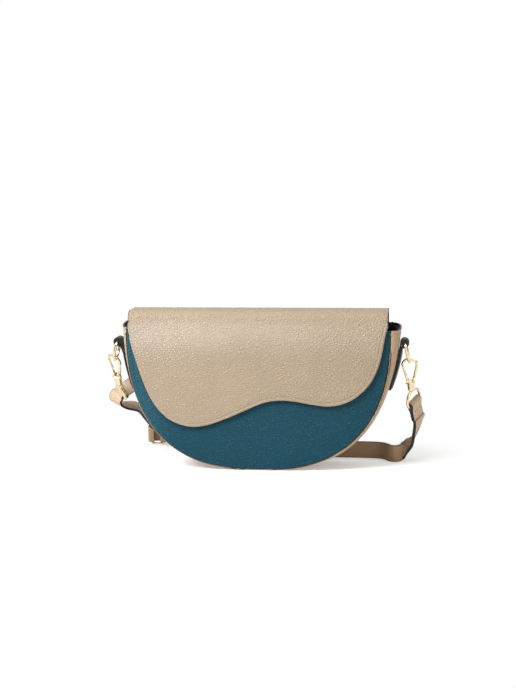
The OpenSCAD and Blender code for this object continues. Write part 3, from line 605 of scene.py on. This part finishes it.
def paint_border(bm, width):
    """Gives the faces along the sheet's free edge the fourth material, the edge paint."""
    face_out(bm)
    bmesh.ops.inset_region(bm, faces=bm.faces[:], thickness=width * MM,
                           use_boundary=True, use_even_offset=False)
    for f in bm.faces:
        if any(e.is_boundary for e in f.edges):
            f.material_index = 3
    return bm


def painted(face, inner):
    """A sheet's face, cut edge and inner face, and the same three along its painted border."""
    return [face, face, inner, edge_paint, edge_paint, inner]


def seam_shown(x):
    """Share of the gusset's seam edge that shows past the front panel's edge at x."""
    return smooth_step((x - SHOWN_FROM) / SHOWN_FADE)


def moon_sheet(side, grow, off, top, steps=96, rows=40, right_in=0.0):
    """A front or back sheet; with right_in it is drawn in where the gusset's seam edge shows."""
    turns = even_turns(steps)
    def place(u, v):
        shown = seam_shown(moon(0, 180 * u, top)[0]) if right_in else 1
        x, low = moon(grow * shown, 180 * u, top)
        low = max(low, FLOOR_ROOM)
        x -= right_in * smooth_step(x / (PANEL_W / 2))
        share = 1 - (1 - v) ** ROW_POWER
        return skin(side, x, low + (top - low) * share, off)
    return grid(turns, even(rows), place)


front = paint_border(moon_sheet(-1, -PANEL_IN, -LEATHER_T / 2, RIM_H, right_in=RIGHT_IN), FRONT_BORDER)
back = paint_border(moon_sheet(1, 0, -LEATHER_T / 2, RIM_H), BACK_BORDER)
for n, sheet in (("front", front), ("back", back)):
    piece(f"{n}_panel_leather", sheet, "bag", painted(teal, dark_teal),
          LEATHER_T, LEATHER_EDGE, [f"{n}_panel"])

LINING_IN = LEATHER_T - SEAM_PROUD + LINING_ROOM
LINING_TOP = RIM_H - 2.5
lining_off = -LEATHER_T - SEAT - LINING_T / 2
for side, n in ((-1, "front"), (1, "back")):
    sheet = moon_sheet(side, -LINING_IN, lining_off, LINING_TOP, 64, 24)
    piece(f"{n}_lining_cloth", sheet, "bag", [lining_cloth], LINING_T, CLOTH_EDGE, [f"{n}_lining"])


# the left side is drawn in a little more than the right one
BOW_SEEN = {1: BOW, -1: BOW - 2.3}
# how far the gusset's front seam edge stands forward, and how far the gusset bellies low at the right
SEAM_FORWARD, BELLY = 1.2, 2.2
BELLY_X, BELLY_FOOT, BELLY_TOP, BELLY_TOP_FADE = 60, 20, 100, 45
# below the mouth's turned edge: depth, distance from the rim and width
GROOVE, BEAD = (0.9, 3.4, 0.6), (0.3, 1.4, 1.0)
# distances from the mouth at which the gusset has rows of its own
MOUTH_ROWS = (0.8, 1.6, 2.2, 2.7, 3.2, 3.7, 4.3, 5.2)
# share of the half depth past which the right side is drawn in, and least share of an edge that runs across
DRAWN_FROM, CROSSWISE = 0.75, 0.6


def outline_normal(x, z, grow, top):
    """Outward direction of the half-moon outline at x, z."""
    nx = math.copysign((abs(x) / (PANEL_W / 2 + grow)) ** (OUTLINE_POWER - 1) / PANEL_W * 2, x)
    nz = -(max(0, top - z) / (top - LIFT + grow)) ** (OUTLINE_POWER - 1) / top
    n = math.hypot(nx, nz)
    return nx / n, nz / n


def bow_at(z, s=1):
    """How far the gusset's middle bows out at height z."""
    return BOW_SEEN[s] * max(0, (z - BOW_FROM) / (RIM_H - BOW_FROM))


def below_rim(shape, z):
    """Height of a groove or bead that runs along below the mouth's rim."""
    deep, down, wide = shape
    return deep * hump((RIM_H - down - z) / wide)


def gusset_point(turn, t, grow, margin, top=RIM_H, sewn=0.0):
    """A point of the gusset; t is -1 at the front seam and 1 at the back one."""
    x, z = moon(grow, turn, top)
    nx, nz = outline_normal(x, z, grow, top)
    flat = max(z, 0)
    forward = SEAM_FORWARD * sewn * seam_shown(x) if t < 0 else 0
    reach = half_depth(flat) - LEATHER_T / math.cos(LEAN) - margin + forward
    belly = BELLY * smooth_step(x / BELLY_X) * smooth_step(z / BELLY_FOOT)
    belly *= smooth_step((BELLY_TOP - z) / BELLY_TOP_FADE)
    bowed = (bow_at(flat, 1 if x > 0 else -1) + belly) * (1 - abs(t) ** BOW_POWER) ** BOW_ROUND
    rim = sewn * (below_rim(GROOVE, z) - below_rim(BEAD, z))
    # at the right the front seam draws the edge in
    at_seam = smooth_step((-t - DRAWN_FROM) / (1 - DRAWN_FROM))
    drawn_in = sewn * RIGHT_IN * smooth_step(x / (PANEL_W / 2)) * at_seam
    out = bowed - rim - drawn_in
    return (x + nx * out, t * reach, max(z + nz * out, 0) + corner_lift(x, z, t))


def gusset_sheet(grow, margin, top, steps, across, sewn=0.0, extra=()):
    """The band round the body; sewn is how much of the seams and the turned mouth it shows."""
    def place(u, v):
        return gusset_point(180 * u, math.sin(math.pi * (v - 0.5)), grow, margin, top, sewn)
    return grid(even_turns(steps, extra), even(across), place)


def runs_across(e):
    """Whether an edge runs from the gusset's front to its back."""
    return abs(e.verts[0].co.y - e.verts[1].co.y) > CROSSWISE * e.calc_length()


gusset_bm = gusset_sheet(SEAM_PROUD - LEATHER_T / 2, SEAT / 2, RIM_H, 150, 26, 1.0, MOUTH_ROWS)
for v in gusset_bm.verts:
    v.co.z = max(v.co.z, LEATHER_T / 2 * MM)
paint_border(gusset_bm, GUSSET_BORDER)
for f in gusset_bm.faces:
    # the cut edges are painted at the mouth alone
    f.material_index = 3 if any(e.is_boundary and runs_across(e) for e in f.edges) else 0
piece("gusset_leather", gusset_bm, "bag", painted(gusset_face_painted_light, dark_teal),
      LEATHER_T, LEATHER_EDGE, ["gusset"])
piece("gusset_lining_cloth", gusset_sheet(-LINING_IN - LINING_T / 2, LINING_T + 2 * SEAT, LINING_TOP, 90, 16),
      "bag", [lining_cloth], LINING_T, CLOTH_EDGE, ["gusset_lining"])

POCKET_HALF, POCKET_FOOT, POCKET_H, POCKET_CORNER, POCKET_SLACK = 65.0, 45.0, 80.0, 12.0, 1.0


def corner_rise(over, radius):
    """How far a sheet's lower edge rises at over millimetres into a rounded corner."""
    return radius - math.sqrt(max(0, radius ** 2 - min(over, radius) ** 2))


def pocket_place(u, v):
    """The slip pocket; its mouth stands a little open."""
    x = POCKET_HALF * (2 * u - 1)
    low = POCKET_FOOT + corner_rise(max(0, abs(x) - POCKET_HALF + POCKET_CORNER), POCKET_CORNER)
    z = low + (POCKET_FOOT + POCKET_H - low) * v
    slack = POCKET_SLACK * (1 - abs(2 * u - 1) ** 6) * smooth_step(v * 6)
    return skin(1, x, z, -LEATHER_T - LINING_T - 3 * SEAT - LINING_T / 2 - slack)


piece("inner_pocket_cloth", grid(even(40), even(20), pocket_place), "bag", [lining_cloth],
      LINING_T, CLOTH_EDGE, ["inner_pocket"])

# Flap
# the flap's edge: x in half widths, z from the lowest point to the hinge
WAVE = [(-1, 0.98), (-0.99, 0.9), (-0.97, 0.79), (-0.938, 0.655), (-0.889, 0.463), (-0.823, 0.267),
        (-0.735, 0.118), (-0.62, 0.03), (-0.5, 0), (-0.38, 0.022), (-0.212, 0.102), (-0.045, 0.2),
        (0.055, 0.25), (0.17, 0.273), (0.286, 0.262), (0.418, 0.234), (0.533, 0.218), (0.65, 0.243),
        (0.765, 0.322), (0.848, 0.435), (0.903, 0.575), (0.935, 0.72), (0.96, 0.9), (0.985, 1)]
wave = [Vector((p.x * FLAP_W / 2, FLAP_LOW + p.y * (HINGE_Z - FLAP_LOW), 0))
        for p in curve([Vector((a, b, 0)) for a, b in WAVE], 6)]
# the sheet's columns stand at least COLUMN_GAP apart
COLUMN_GAP = 0.8
flap_columns = wave[:1]
for p in wave[1:-1]:
    if p.x - flap_columns[-1].x > COLUMN_GAP and wave[-1].x - p.x > COLUMN_GAP:
        flap_columns.append(p)
flap_columns.append(wave[-1])
FRONT_STEPS, BEND_STEPS, TONGUE_STEPS, LONG_STEPS = 40, 14, 16, 64
TONGUE_IN, TONGUE_CORNER = 1, 12.0
# rows near the flap's edges, as distances from them
EDGE_ROWS = (0, 0.5, 1.1, 1.7, 2.3, 2.9, 3.6, 4.6)
# the edge is pressed thin, the seam sinks into the leather, and the rim stands off: depth and width
PRESSED, SUNK, RIM_OFF = (0.4, 0.5), (0.45, 0.8), (0.5, 14)
SUNK_AT, FRONT_TOP = 2.7, 156
# the stitched line's distance from the edge, and how far it stays from the flap's ends
SEAM_IN, SEAM_END, THREAD_OUT = 2.5, 2.2, 0.18


def flap_line_y(z, off):
    """Distance from the bag's middle plane to the flap's leather at height z."""
    return half_depth(z) + (FLAP_GAP + off) / math.cos(LEAN)


def edge_gap(x, z):
    """Distance to the flap's wave edge."""
    best = math.inf
    p = Vector((x, z, 0))
    for a, b in zip(wave, wave[1:]):
        ab = b - a
        t = min(1, max(0, (p - a).dot(ab) / ab.length_squared))
        best = min(best, (p - a - ab * t).length_squared)
    return math.sqrt(best)


def flap_column(x, low, off):
    """The flap's section at x: up the front from its edge, over the mouth and down to the tongue's foot."""
    zc = FLAP_TOP - FLAP_ALL - FLAP_BEND_R
    yc = flap_line_y(zc, 0) - FLAP_BEND_R / math.cos(LEAN)
    r = FLAP_BEND_R + off
    lean = math.degrees(LEAN)
    pts = []
    for i in range(FRONT_STEPS + 1):
        z = low + (zc - low) * i / FRONT_STEPS
        pts.append((x, -flap_line_y(z, off) - swell(x, z), z))
    for side, first, last in ((-1, 180 - lean, 90), (1, 90, lean)):
        for i in range(BEND_STEPS + 1):
            a = math.radians(first + (last - first) * i / BEND_STEPS)
            pts.append((x, side * yc + r * math.cos(a), zc + r * math.sin(a)))
    foot = HINGE_Z - TONGUE_H
    foot += corner_rise(max(0, abs(x) - FLAP_W / 2 + TONGUE_IN + TONGUE_CORNER), TONGUE_CORNER)
    for i in range(1, TONGUE_STEPS + 1):
        z = zc + (foot - zc) * i / TONGUE_STEPS
        pts.append((x, flap_line_y(z, off) + swell(x, z), z))
    return pts


def flap_sheet(off, pad, inset):
    """One layer of the flap, its middle off millimetres from the inner face, inset millimetres smaller;
    pad is how much of the edge's and the seam's relief it has."""
    columns = []
    for p in flap_columns:
        x = p.x * (1 - inset / (FLAP_W / 2))
        pts = flap_column(x, p.y + inset, off)
        total = sum(math.dist(a, b) for a, b in zip(pts, pts[1:]))
        last = EDGE_ROWS[-1]
        shares = [d / total for d in EDGE_ROWS]
        shares += [last / total + (1 - 2 * last / total) * i / LONG_STEPS for i in range(1, LONG_STEPS + 1)]
        shares += [1 - d / total for d in reversed(EDGE_ROWS[:-1])]
        columns.append([list(q) for q in resample(pts, shares)])
    for column in columns:
        for q in column:
            if q[1] < 0 and q[2] < FRONT_TOP and pad:
                d = edge_gap(q[0], q[2])
                q[1] += pad * (PRESSED[0] * hump(d / PRESSED[1]) + SUNK[0] * hump((d - SUNK_AT) / SUNK[1]))
                q[1] -= RIM_OFF[0] * hump(d / RIM_OFF[1])
    return lattice(len(columns), len(columns[0]), lambda i, k: columns[i][k])


flap_bm = paint_border(flap_sheet(FLAP_LINING_T + FLAP_T / 2 + SEAT / 4, 1.0, 0), FLAP_BORDER)
flap_obj = piece("flap_leather", flap_bm, None, painted(taupe, dark_teal),
                 FLAP_T, FLAP_EDGE, ["flap", "flap_tongue"])
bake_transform(flap_obj)
flap_in = piece("flap_lining_leather", flap_sheet(FLAP_LINING_T / 2, 0.0, 0.1), None,
                [dark_teal, edge_paint], FLAP_LINING_T - 0.05, CLOTH_EDGE, ["flap_lining"])
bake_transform(flap_in)


def seam_along(points, inset):
    """The points of a line drawn inset millimetres to the left of a run of [x, z] points."""
    found = []
    for i, p in enumerate(points):
        t = (points[min(i + 1, len(points) - 1)] - points[max(i - 1, 0)]).normalized()
        found.append(Vector((p.x - t.y * inset, p.y + t.x * inset, 0)))
    return found


def flap_thread(x, z):
    """A point of the stitched line and its outward direction."""
    return (x, -flap_line_y(z, FLAP_ALL + 0.02) - swell(x, z) + THREAD_OUT, z), (0, -1, 0.03)


flap_seam = [flap_thread(q.x, q.y) for q in seam_along(wave, SEAM_IN) if abs(q.x) < FLAP_W / 2 - SEAM_END]
stitches("flap_stitching_front", [flap_seam], "flap", thread_taupe)

# Seams of the body
PANEL_SEAM_IN = 3.3
seam_lines = []
for side in (-1, 1):
    pts = [moon(-PANEL_SEAM_IN, 180 * t) for t in even_turns(140)]
    seam_lines.append([(skin(side, x, z, 0.05), (0, side, 0.04)) for x, z in pts if 0 < z < RIM_H - 1])
stitches("panel_stitching", seam_lines, "bag", thread_dark)

# Tabs
loop_r = TAB_HOLE_R + TAB_T


def side_x(z, s=1):
    """Half the bag's width at height z, at the gusset's middle, on the right (1) or left (-1)."""
    return half_width(z, SEAM_PROUD) + bow_at(z, s)


loop_x = side_x(TAB_LOOP_Z) + TAB_GAP + loop_r
# the tab's foot is turned by TAB_TURN degrees; the turn fades out over TAB_EASE below the loop
TAB_TURN, TAB_EASE = 6.0, 14.0
# shares of the strip's length at which its loop starts and ends and its outer layer starts
LOOP_FROM, LOOP_TO, OUTER_FROM, LOOP_ARC = 0.4, 0.64, 0.65, 236
# the ring's bar, seen from the loop's middle, with its play; the fold's leather fills the rest, and its black
# is partly painted shade in the loop's hole
BAR_X, BAR_Z, BAR_R = 0.55, -1.0, 1.62
# the fold reaches down between the layers, toward FOLD_DOWN degrees
FOLD_MORE, FOLD_DOWN, FOLD_WIDE = 0.5, 240, 35
TAB_SEAM_IN, TAB_SEAM_L, TAB_SEAM_STEPS = 2, 36, 30


def tab_point(s, w, z, off):
    """A point of the tab w along its width, off outside the gusset; its foot turns a little to the front."""
    near = smooth_step((z - TAB_LOOP_Z + TAB_EASE) / TAB_EASE)
    x = side_x(z, s) * (1 - near) + side_x(z) * near + TAB_GAP + off
    turn = math.radians(TAB_TURN) * (1 - near)
    return s * (x + w * math.sin(turn)), w * math.cos(turn), z


def tab_place(s, w, v):
    """Middle of the tab's leather: up its inner layer, round the loop and down its outer layer."""
    r, foot = loop_r - TAB_T / 2, TAB_LOOP_Z - loop_r - 0.5
    if v < LOOP_FROM:
        return tab_point(s, w, TAB_FOOT_Z + (TAB_LOOP_Z - TAB_FOOT_Z) * v / LOOP_FROM, TAB_T / 2)
    if v <= LOOP_TO:
        a = math.radians(180 - LOOP_ARC * (v - LOOP_FROM) / (LOOP_TO - LOOP_FROM))
        return s * (loop_x + r * math.cos(a)), w, TAB_LOOP_Z + r * math.sin(a)
    z = foot - (foot - TAB_FOOT_Z) * (v - OUTER_FROM) / (1 - OUTER_FROM)
    return tab_point(s, w, z, TAB_T * 1.5 + 0.02)


def fold_place(s, u, v):
    """The leather closed round the ring's bar: u runs round it, v over its outer and inner faces."""
    outer, y = ((1, -1), (1, 1), (0, 1), (0, -1), (1, -1))[round(4 * v)]
    c, sn = math.cos(2 * math.pi * u), math.sin(2 * math.pi * u)
    r = TAB_HOLE_R * (1 + FOLD_MORE * hump((360 * u - FOLD_DOWN) / FOLD_WIDE))
    x, z = (r * c, r * sn) if outer else (BAR_X + BAR_R * c, BAR_Z + BAR_R * sn)
    return (s * (loop_x + x), y * (TAB_W / 2 - 0.5), TAB_LOOP_Z + z)


def tab_thread(s, w, up):
    """A point of the tab's stitching, up millimetres above its seam's foot, and its outward direction."""
    return tab_point(s, w, TAB_FOOT_Z + TAB_SEAM_IN + up, 2 * TAB_T + 0.03), (s, 0, 0)


for s, n in ((1, "right"), (-1, "left")):
    strip = grid(even(10), even(100), lambda u, v: tab_place(s, TAB_W * (u - 0.5), v))
    piece(f"tab_{n}_leather", strip, "bag", [dark_teal, edge_paint],
          TAB_T - 0.04, FLAP_EDGE, [f"tab_{n}"])
    fold = grid(even(28), even(4), lambda u, v: fold_place(s, u, v))
    # the fold's black is the leather's painted edge and painted shade in the loop's hole
    piece(f"tab_{n}_fold", fold, "bag", [edge_paint], auto=SHARP)
    lines = [[tab_thread(s, y * (TAB_W / 2 - TAB_SEAM_IN), TAB_SEAM_L * i / TAB_SEAM_STEPS)
              for i in range(TAB_SEAM_STEPS + 1)] for y in (-1, 1)]
    lines.append([tab_thread(s, y, 0) for y in (-5, 0, 5)])
    stitches(f"tab_{n}_stitching", lines, "bag", thread_dark)

# Where the hooks hang
# for the right (1) and the left (-1) chain: degrees about x, y or z, and a shift in millimetres
HOOK_LEAN, HOOK_ROLL = {1: 26, -1: 31}, {1: -3, -1: -2}
HOOK_PUSH = {1: (0, 0, 0), -1: (-1.7, 0, 1.4)}
EYE_BACK, EYE_ROLL, EYE_TURN = {1: 0, -1: 15}, {1: -8, -1: 0}, {1: 56, -1: -62}
SWIVEL_D, EYE_DROP, EYE_WIRE_R = 36.9, 17.8, 1.5
HOOK_PLAY, WIRE_R = 0.5, 1.4


def turned(axis, angle, p):
    """A point turned about an axis through the origin, by degrees."""
    return Matrix.Rotation(math.radians(angle), 3, axis) @ Vector(p)


def hook_top(s):
    """The middle of the hook's top bend, where it hangs on the ring."""
    tilt = math.radians(RING_TILT)
    x = loop_x + BAR_X + RING_L * math.sin(tilt)
    z = TAB_LOOP_Z + BAR_Z - RING_L * math.cos(tilt)
    return Vector((s * x, 0, z)) + Vector(HOOK_PUSH[s]) + Vector((0, 0, 2 * WIRE_R + HOOK_PLAY))


def barrel_turned(s, p):
    """A direction of the hook's barrel, in the bag's frame."""
    return turned("Y", HOOK_ROLL[s], turned("X", HOOK_LEAN[s], p))


def eye_turned(s, p):
    """A direction of the swivel loop, in the bag's frame."""
    return barrel_turned(s, turned("X", EYE_BACK[s], turned("Y", EYE_ROLL[s], turned("Z", EYE_TURN[s], p))))


def eye_point(s, p):
    """A point given in the swivel loop's own frame, whose origin is the swivel."""
    return hook_top(s) + barrel_turned(s, (0, 0, -SWIVEL_D)) + eye_turned(s, p)


# Strap
LOOP_LOOK_T, LONG_RUN_LOOK_T = 2.5, 3.2
# corners across the strap, closer toward its pressed edges
STRAP_ACROSS = [0, 0.03, 0.07, 0.11, 0.16] + [0.16 + 0.68 * i / 12 for i in range(1, 12)]
STRAP_ACROSS += [0.84, 0.89, 0.93, 0.97, 1]


def ribbon(name, path, body, replaced, thick, steps=8):
    """A flat strap along a path of (point, direction of the width), with painted edges."""
    pts = curve([Vector(p) for p, w in path], steps)
    wid = [w.normalized() for w in curve([Vector(w) for p, w in path], steps)]
    def place(i, k):
        return pts[k] + wid[k] * (STRAP_W * (STRAP_ACROSS[i] - 0.5))
    bm = lattice(len(STRAP_ACROSS), len(pts), place)
    bm.faces.index_update()
    columns = len(STRAP_ACROSS) - 1
    for f in bm.faces:
        if f.index % columns in (0, columns - 1):
            f.material_index = 1
    return piece(name, bm, body, [strap_face, edge_paint], thick, STRAP_EDGE, replaced)


def route(start, end, shares):
    """A path in the air: shares of the way, offsets from it in strap widths, directions of the width."""
    start, end = Vector(start), Vector(end)
    return [(start.lerp(end, f) + Vector(off) * STRAP_W, w) for f, off, w in shares]


# what route() takes, for the drop at the right and the left fold's two legs
DROP = [(0.18, (0.16, 0.18, -0.08), (0.41, 0.81, 0.42)), (0.37, (0.25, 0.33, -0.14), (0.26, 0.95, 0.18)),
        (0.54, (0.31, 0.49, -0.17), (0.08, 0.99, 0.08)), (0.68, (0.29, 0.55, -0.17), (-0.09, 0.95, 0.29)),
        (0.81, (0.17, 0.48, -0.09), (-0.14, 0.78, 0.61)), (0.91, (0.11, 0.28, -0.06), (-0.12, 0.52, 0.85))]
LOOP_A = [(0, (1.82, 0.71, 0.35), (0, 0, 1)), (0, (1.47, 0.59, 0.42), (0, 0, 1)),
          (0, (1.13, 0.34, 0.76), (0, 0.05, 1)), (0.09, (0.84, 0.35, 0.74), (0, 0.1, 1)),
          (0.23, (0.22, 0.04, 0.18), (-0.11, 0.12, 0.99)), (0.36, (0.17, 0.03, 0.15), (-0.25, 0.35, 0.9)),
          (0.51, (0.13, 0.04, 0.11), (-0.38, 0.51, 0.77)), (0.64, (0.11, -0.02, 0.02), (-0.5, 0.69, 0.52)),
          (0.74, (-0.02, -0.15, -0.16), (-0.66, 0.62, 0.41)),
          (0.83, (-0.24, -0.22, -0.38), (-0.78, 0.56, 0.29)),
          (0.9, (-0.37, -0.26, -0.46), (-0.84, 0.43, 0.34)),
          (0.95, (-0.44, -0.21, -0.44), (-0.82, 0.32, 0.47)),
          (0.98, (-0.39, -0.1, -0.25), (-0.65, 0.37, 0.67))]
LOOP_B = [(0.03, (0.17, 0.18, 0.24), (-0.46, 0.54, 0.71)), (0.08, (0.33, 0.36, 0.56), (-0.43, 0.51, 0.75)),
          (0.15, (0.46, 0.54, 0.83), (-0.4, 0.58, 0.71)), (0.42, (1.96, 0.46, 1.42), (-0.3, 0.8, 0.5)),
          (0.67, (2.49, 0.37, 1.51), (-0.3, 0.85, 0.4)), (0.91, (2.64, 0.24, 1.4), (-0.4, 0.75, 0.5)),
          (1, (2.5, 0.51, 0.96), (-0.4, 0.6, 0.65)), (1, (2.13, 0.87, 0.47), (0, 0.5, 0.85)),
          (1, (1.82, 0.85, 0.33), (0, 0.1, 1)), (1, (1.47, 0.72, 0.23), (0, 0, 1)),
          (1, (0.96, 0.51, 0.07), (0, 0, 1))]
# [x, y] of the first points on the floor, in widths of the panel
FLOOR = [(0.529, 0.113), (0.519, 0.0975), (0.504, 0.0925), (0.489, 0.104), (0.479, 0.124), (0.465, 0.1445),
         (0.442, 0.1565), (0.415, 0.161), (0.347, 0.164), (0.24, 0.167)]
FLOOR_Z = STRAP_W / 2 + SEAT
FOLD_PITCH, FOLD_REACH, FOLD_Y, FOLD_LEAD = 15.5, 0.226, 0.171, 8.0
LINK_L, LINK_WIRE_R, LINK_ROOM = 14.0, 1.3, 0.8
LINK_HALF = STRAP_W / 2 + LINK_ROOM + LINK_WIRE_R
LINK_AT = Vector((-0.47 * PANEL_W, 0.365 * PANEL_W, LINK_HALF + LINK_WIRE_R + SEAT))
LINK_LAY = LINK_WIRE_R + PLAY + SEAT + STRAP_T / 2
LINK_TURN = 3.2
LEG_L, LEG_OUT = 2.4, 1.2
# shares of the way in x, y and z at which the floor run nears the link
LINK_APPROACH = ((0.28, 0.37, 0.1), (0.64, 0.76, 0.5), (0.87, 0.97, 0.9))
DROP_LEAD = 3.0

drop_from = Vector((0, -STRAP_T / 2, -EYE_DROP - STRAP_END_L - SEAT))
drop_to, floor_next = (Vector((a * PANEL_W, b * PANEL_W, FLOOR_Z)) for a, b in FLOOR[:2])
drop_back = (drop_to - floor_next).normalized()
drop_path = [(eye_point(1, drop_from - Vector((0, 0, d))), eye_turned(1, (1, 0, 0))) for d in (0, DROP_LEAD)]
drop_path += route(eye_point(1, drop_from), drop_to, DROP) + [(drop_to + drop_back * DROP_LEAD, (0, 0, 1))]


def link_fold(s):
    """The strap's fold round one side of the link."""
    pts = []
    for a in range(-90, 91, 45):
        c, sn = math.cos(math.radians(a)), math.sin(math.radians(a))
        pts.append(LINK_AT + Vector((s * LINK_L / 2 - LINK_LAY * c, s * LINK_LAY * sn, 0)))
    return pts + [LINK_AT + Vector((s * LINK_L / 2 + LINK_TURN, s * LINK_LAY, 0))]


def floor_path():
    """The run on the floor: beside the bag, to and fro in two flat folds behind it and on to the link."""
    reach, y0, r = FOLD_REACH * PANEL_W, FOLD_Y * PANEL_W, FOLD_PITCH / 2
    bend = [math.pi * i / 4 for i in range(5)]
    flat = [(a * PANEL_W, b * PANEL_W) for a, b in FLOOR] + [(FOLD_LEAD - reach, y0)]
    flat += [(-reach - r * math.sin(a), y0 + r - r * math.cos(a)) for a in bend]
    flat += [(s * (reach - FOLD_LEAD), y0 + 2 * r) for s in (-1, 1)]
    flat += [(reach + r * math.sin(a), y0 + 3 * r - r * math.cos(a)) for a in bend]
    flat += [(s * (reach - FOLD_LEAD), y0 + 4 * r) for s in (1, -1)] + [(-reach, y0 + 4 * r)]
    pts = [Vector((x, y, FLOOR_Z)) for x, y in flat]
    start, to = pts[-1], LINK_AT + Vector((LINK_L / 2, -LINK_LAY, 0))
    for k in LINK_APPROACH:
        pts.append(Vector([start[i] + (to[i] - start[i]) * k[i] for i in range(3)]))
    return [(p, (0, 0, 1)) for p in pts + link_fold(1)]


ribbon("strap_long_run", drop_path + floor_path(), "bag", ["strap_drop_right", "strap_floor"],
       LONG_RUN_LOOK_T)


def arc(r, turns):
    """Points of an arc of radius r about the swivel loop's bar, at the given degrees."""
    return [(r * math.cos(math.radians(a)), r * math.sin(math.radians(a))) for a in turns]


def loop_path():
    """The fold at the left: from the link up, round the swivel loop's bar and back to the link."""
    lay = EYE_WIRE_R + PLAY + STRAP_T / 2
    wrap = [(-lay - LEG_OUT / 2, -LEG_L)] + arc(lay, range(180, -1, -45)) + [(lay + LEG_OUT / 2, -LEG_L)]
    hook_end = eye_point(-1, (0, 0, -EYE_DROP))
    path = route(LINK_AT, hook_end, LOOP_A)
    path += [(eye_point(-1, (0, y, z - EYE_DROP)), eye_turned(-1, (-1, 0, 0))) for y, z in wrap]
    path += route(hook_end, LINK_AT, LOOP_B)
    behind = LINK_LAY + STRAP_T + PLAY
    for share, y in ((1, behind), (0.3, behind - 0.5), (-0.55, LINK_LAY + 0.5)):
        path.append((LINK_AT + Vector((share * LINK_L / 2, y, 0)), (0, 0, 1)))
    return path + [(p, (0, 0, 1)) for p in link_fold(-1)]


ribbon("strap_left_loop", loop_path(), "bag", ["strap_loop_left"], LOOP_LOOK_T)

# the right end is folded round the swivel loop's bar and sewn to itself: (y, z) about the bar
END_LAY = EYE_WIRE_R + PLAY + STRAP_T / 2
END_SEAM_X, END_SEAM_Z = (-6.6, -3, 0, 3, 6.6), (-STRAP_END_L + 2.2, -9.5)
end_line = [(STRAP_T / 2, -STRAP_END_L), (STRAP_T / 2, -12), (STRAP_T / 2 + 0.1, -8), (END_LAY - 0.5, -2.6)]
end_line += arc(END_LAY, range(0, 181, 30)) + [(-END_LAY + 0.5, -2.6), (-STRAP_T / 2 - 0.1, -8)]
end_line += [(-STRAP_T / 2, -12), (-STRAP_T / 2, -STRAP_END_L)]
end_path = [(eye_point(1, (0, y, z - EYE_DROP)), eye_turned(1, (1, 0, 0))) for y, z in end_line]
ribbon("strap_right_end", end_path, "strap_end_right", ["strap_end_right"], STRAP_T - 0.04, steps=5)
end_rows = [[(eye_point(1, (x, -STRAP_T - 0.02, z - EYE_DROP)), eye_turned(1, (0, -1, 0)))
             for x in END_SEAM_X] for z in END_SEAM_Z]
stitches("strap_end_stitching", end_rows, "strap_end_right", thread_taupe)


# Plated hardware
def plated(node, body):
    """A merged copy of a CAD piece with smooth faces and crisp corners."""
    bm = bmesh.new()
    bm.from_mesh(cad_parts[node].data)
    bmesh.ops.remove_doubles(bm, verts=bm.verts, dist=5e-6)
    bmesh.ops.dissolve_degenerate(bm, edges=bm.edges, dist=1e-6)
    return piece(f"{node}_plated", bm, body, [gold], replaced=[node], auto=SHARP)


for n in ("right", "left"):
    plated(f"ring_{n}", f"ring_{n}")
    plated(f"hook_{n}", f"hook_{n}")
    plated(f"gate_{n}", f"gate_{n}")
    plated(f"gate_pin_{n}", f"hook_{n}")
    plated(f"eye_{n}", f"eye_{n}")
plated("strap_link", "strap_link")

for n in ("body_magnet", "flap_magnet"):
    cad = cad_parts[n]
    if not cad.material_slots:
        cad.data.materials.append(steel)
    for place in cad.material_slots:
        place.material = steel
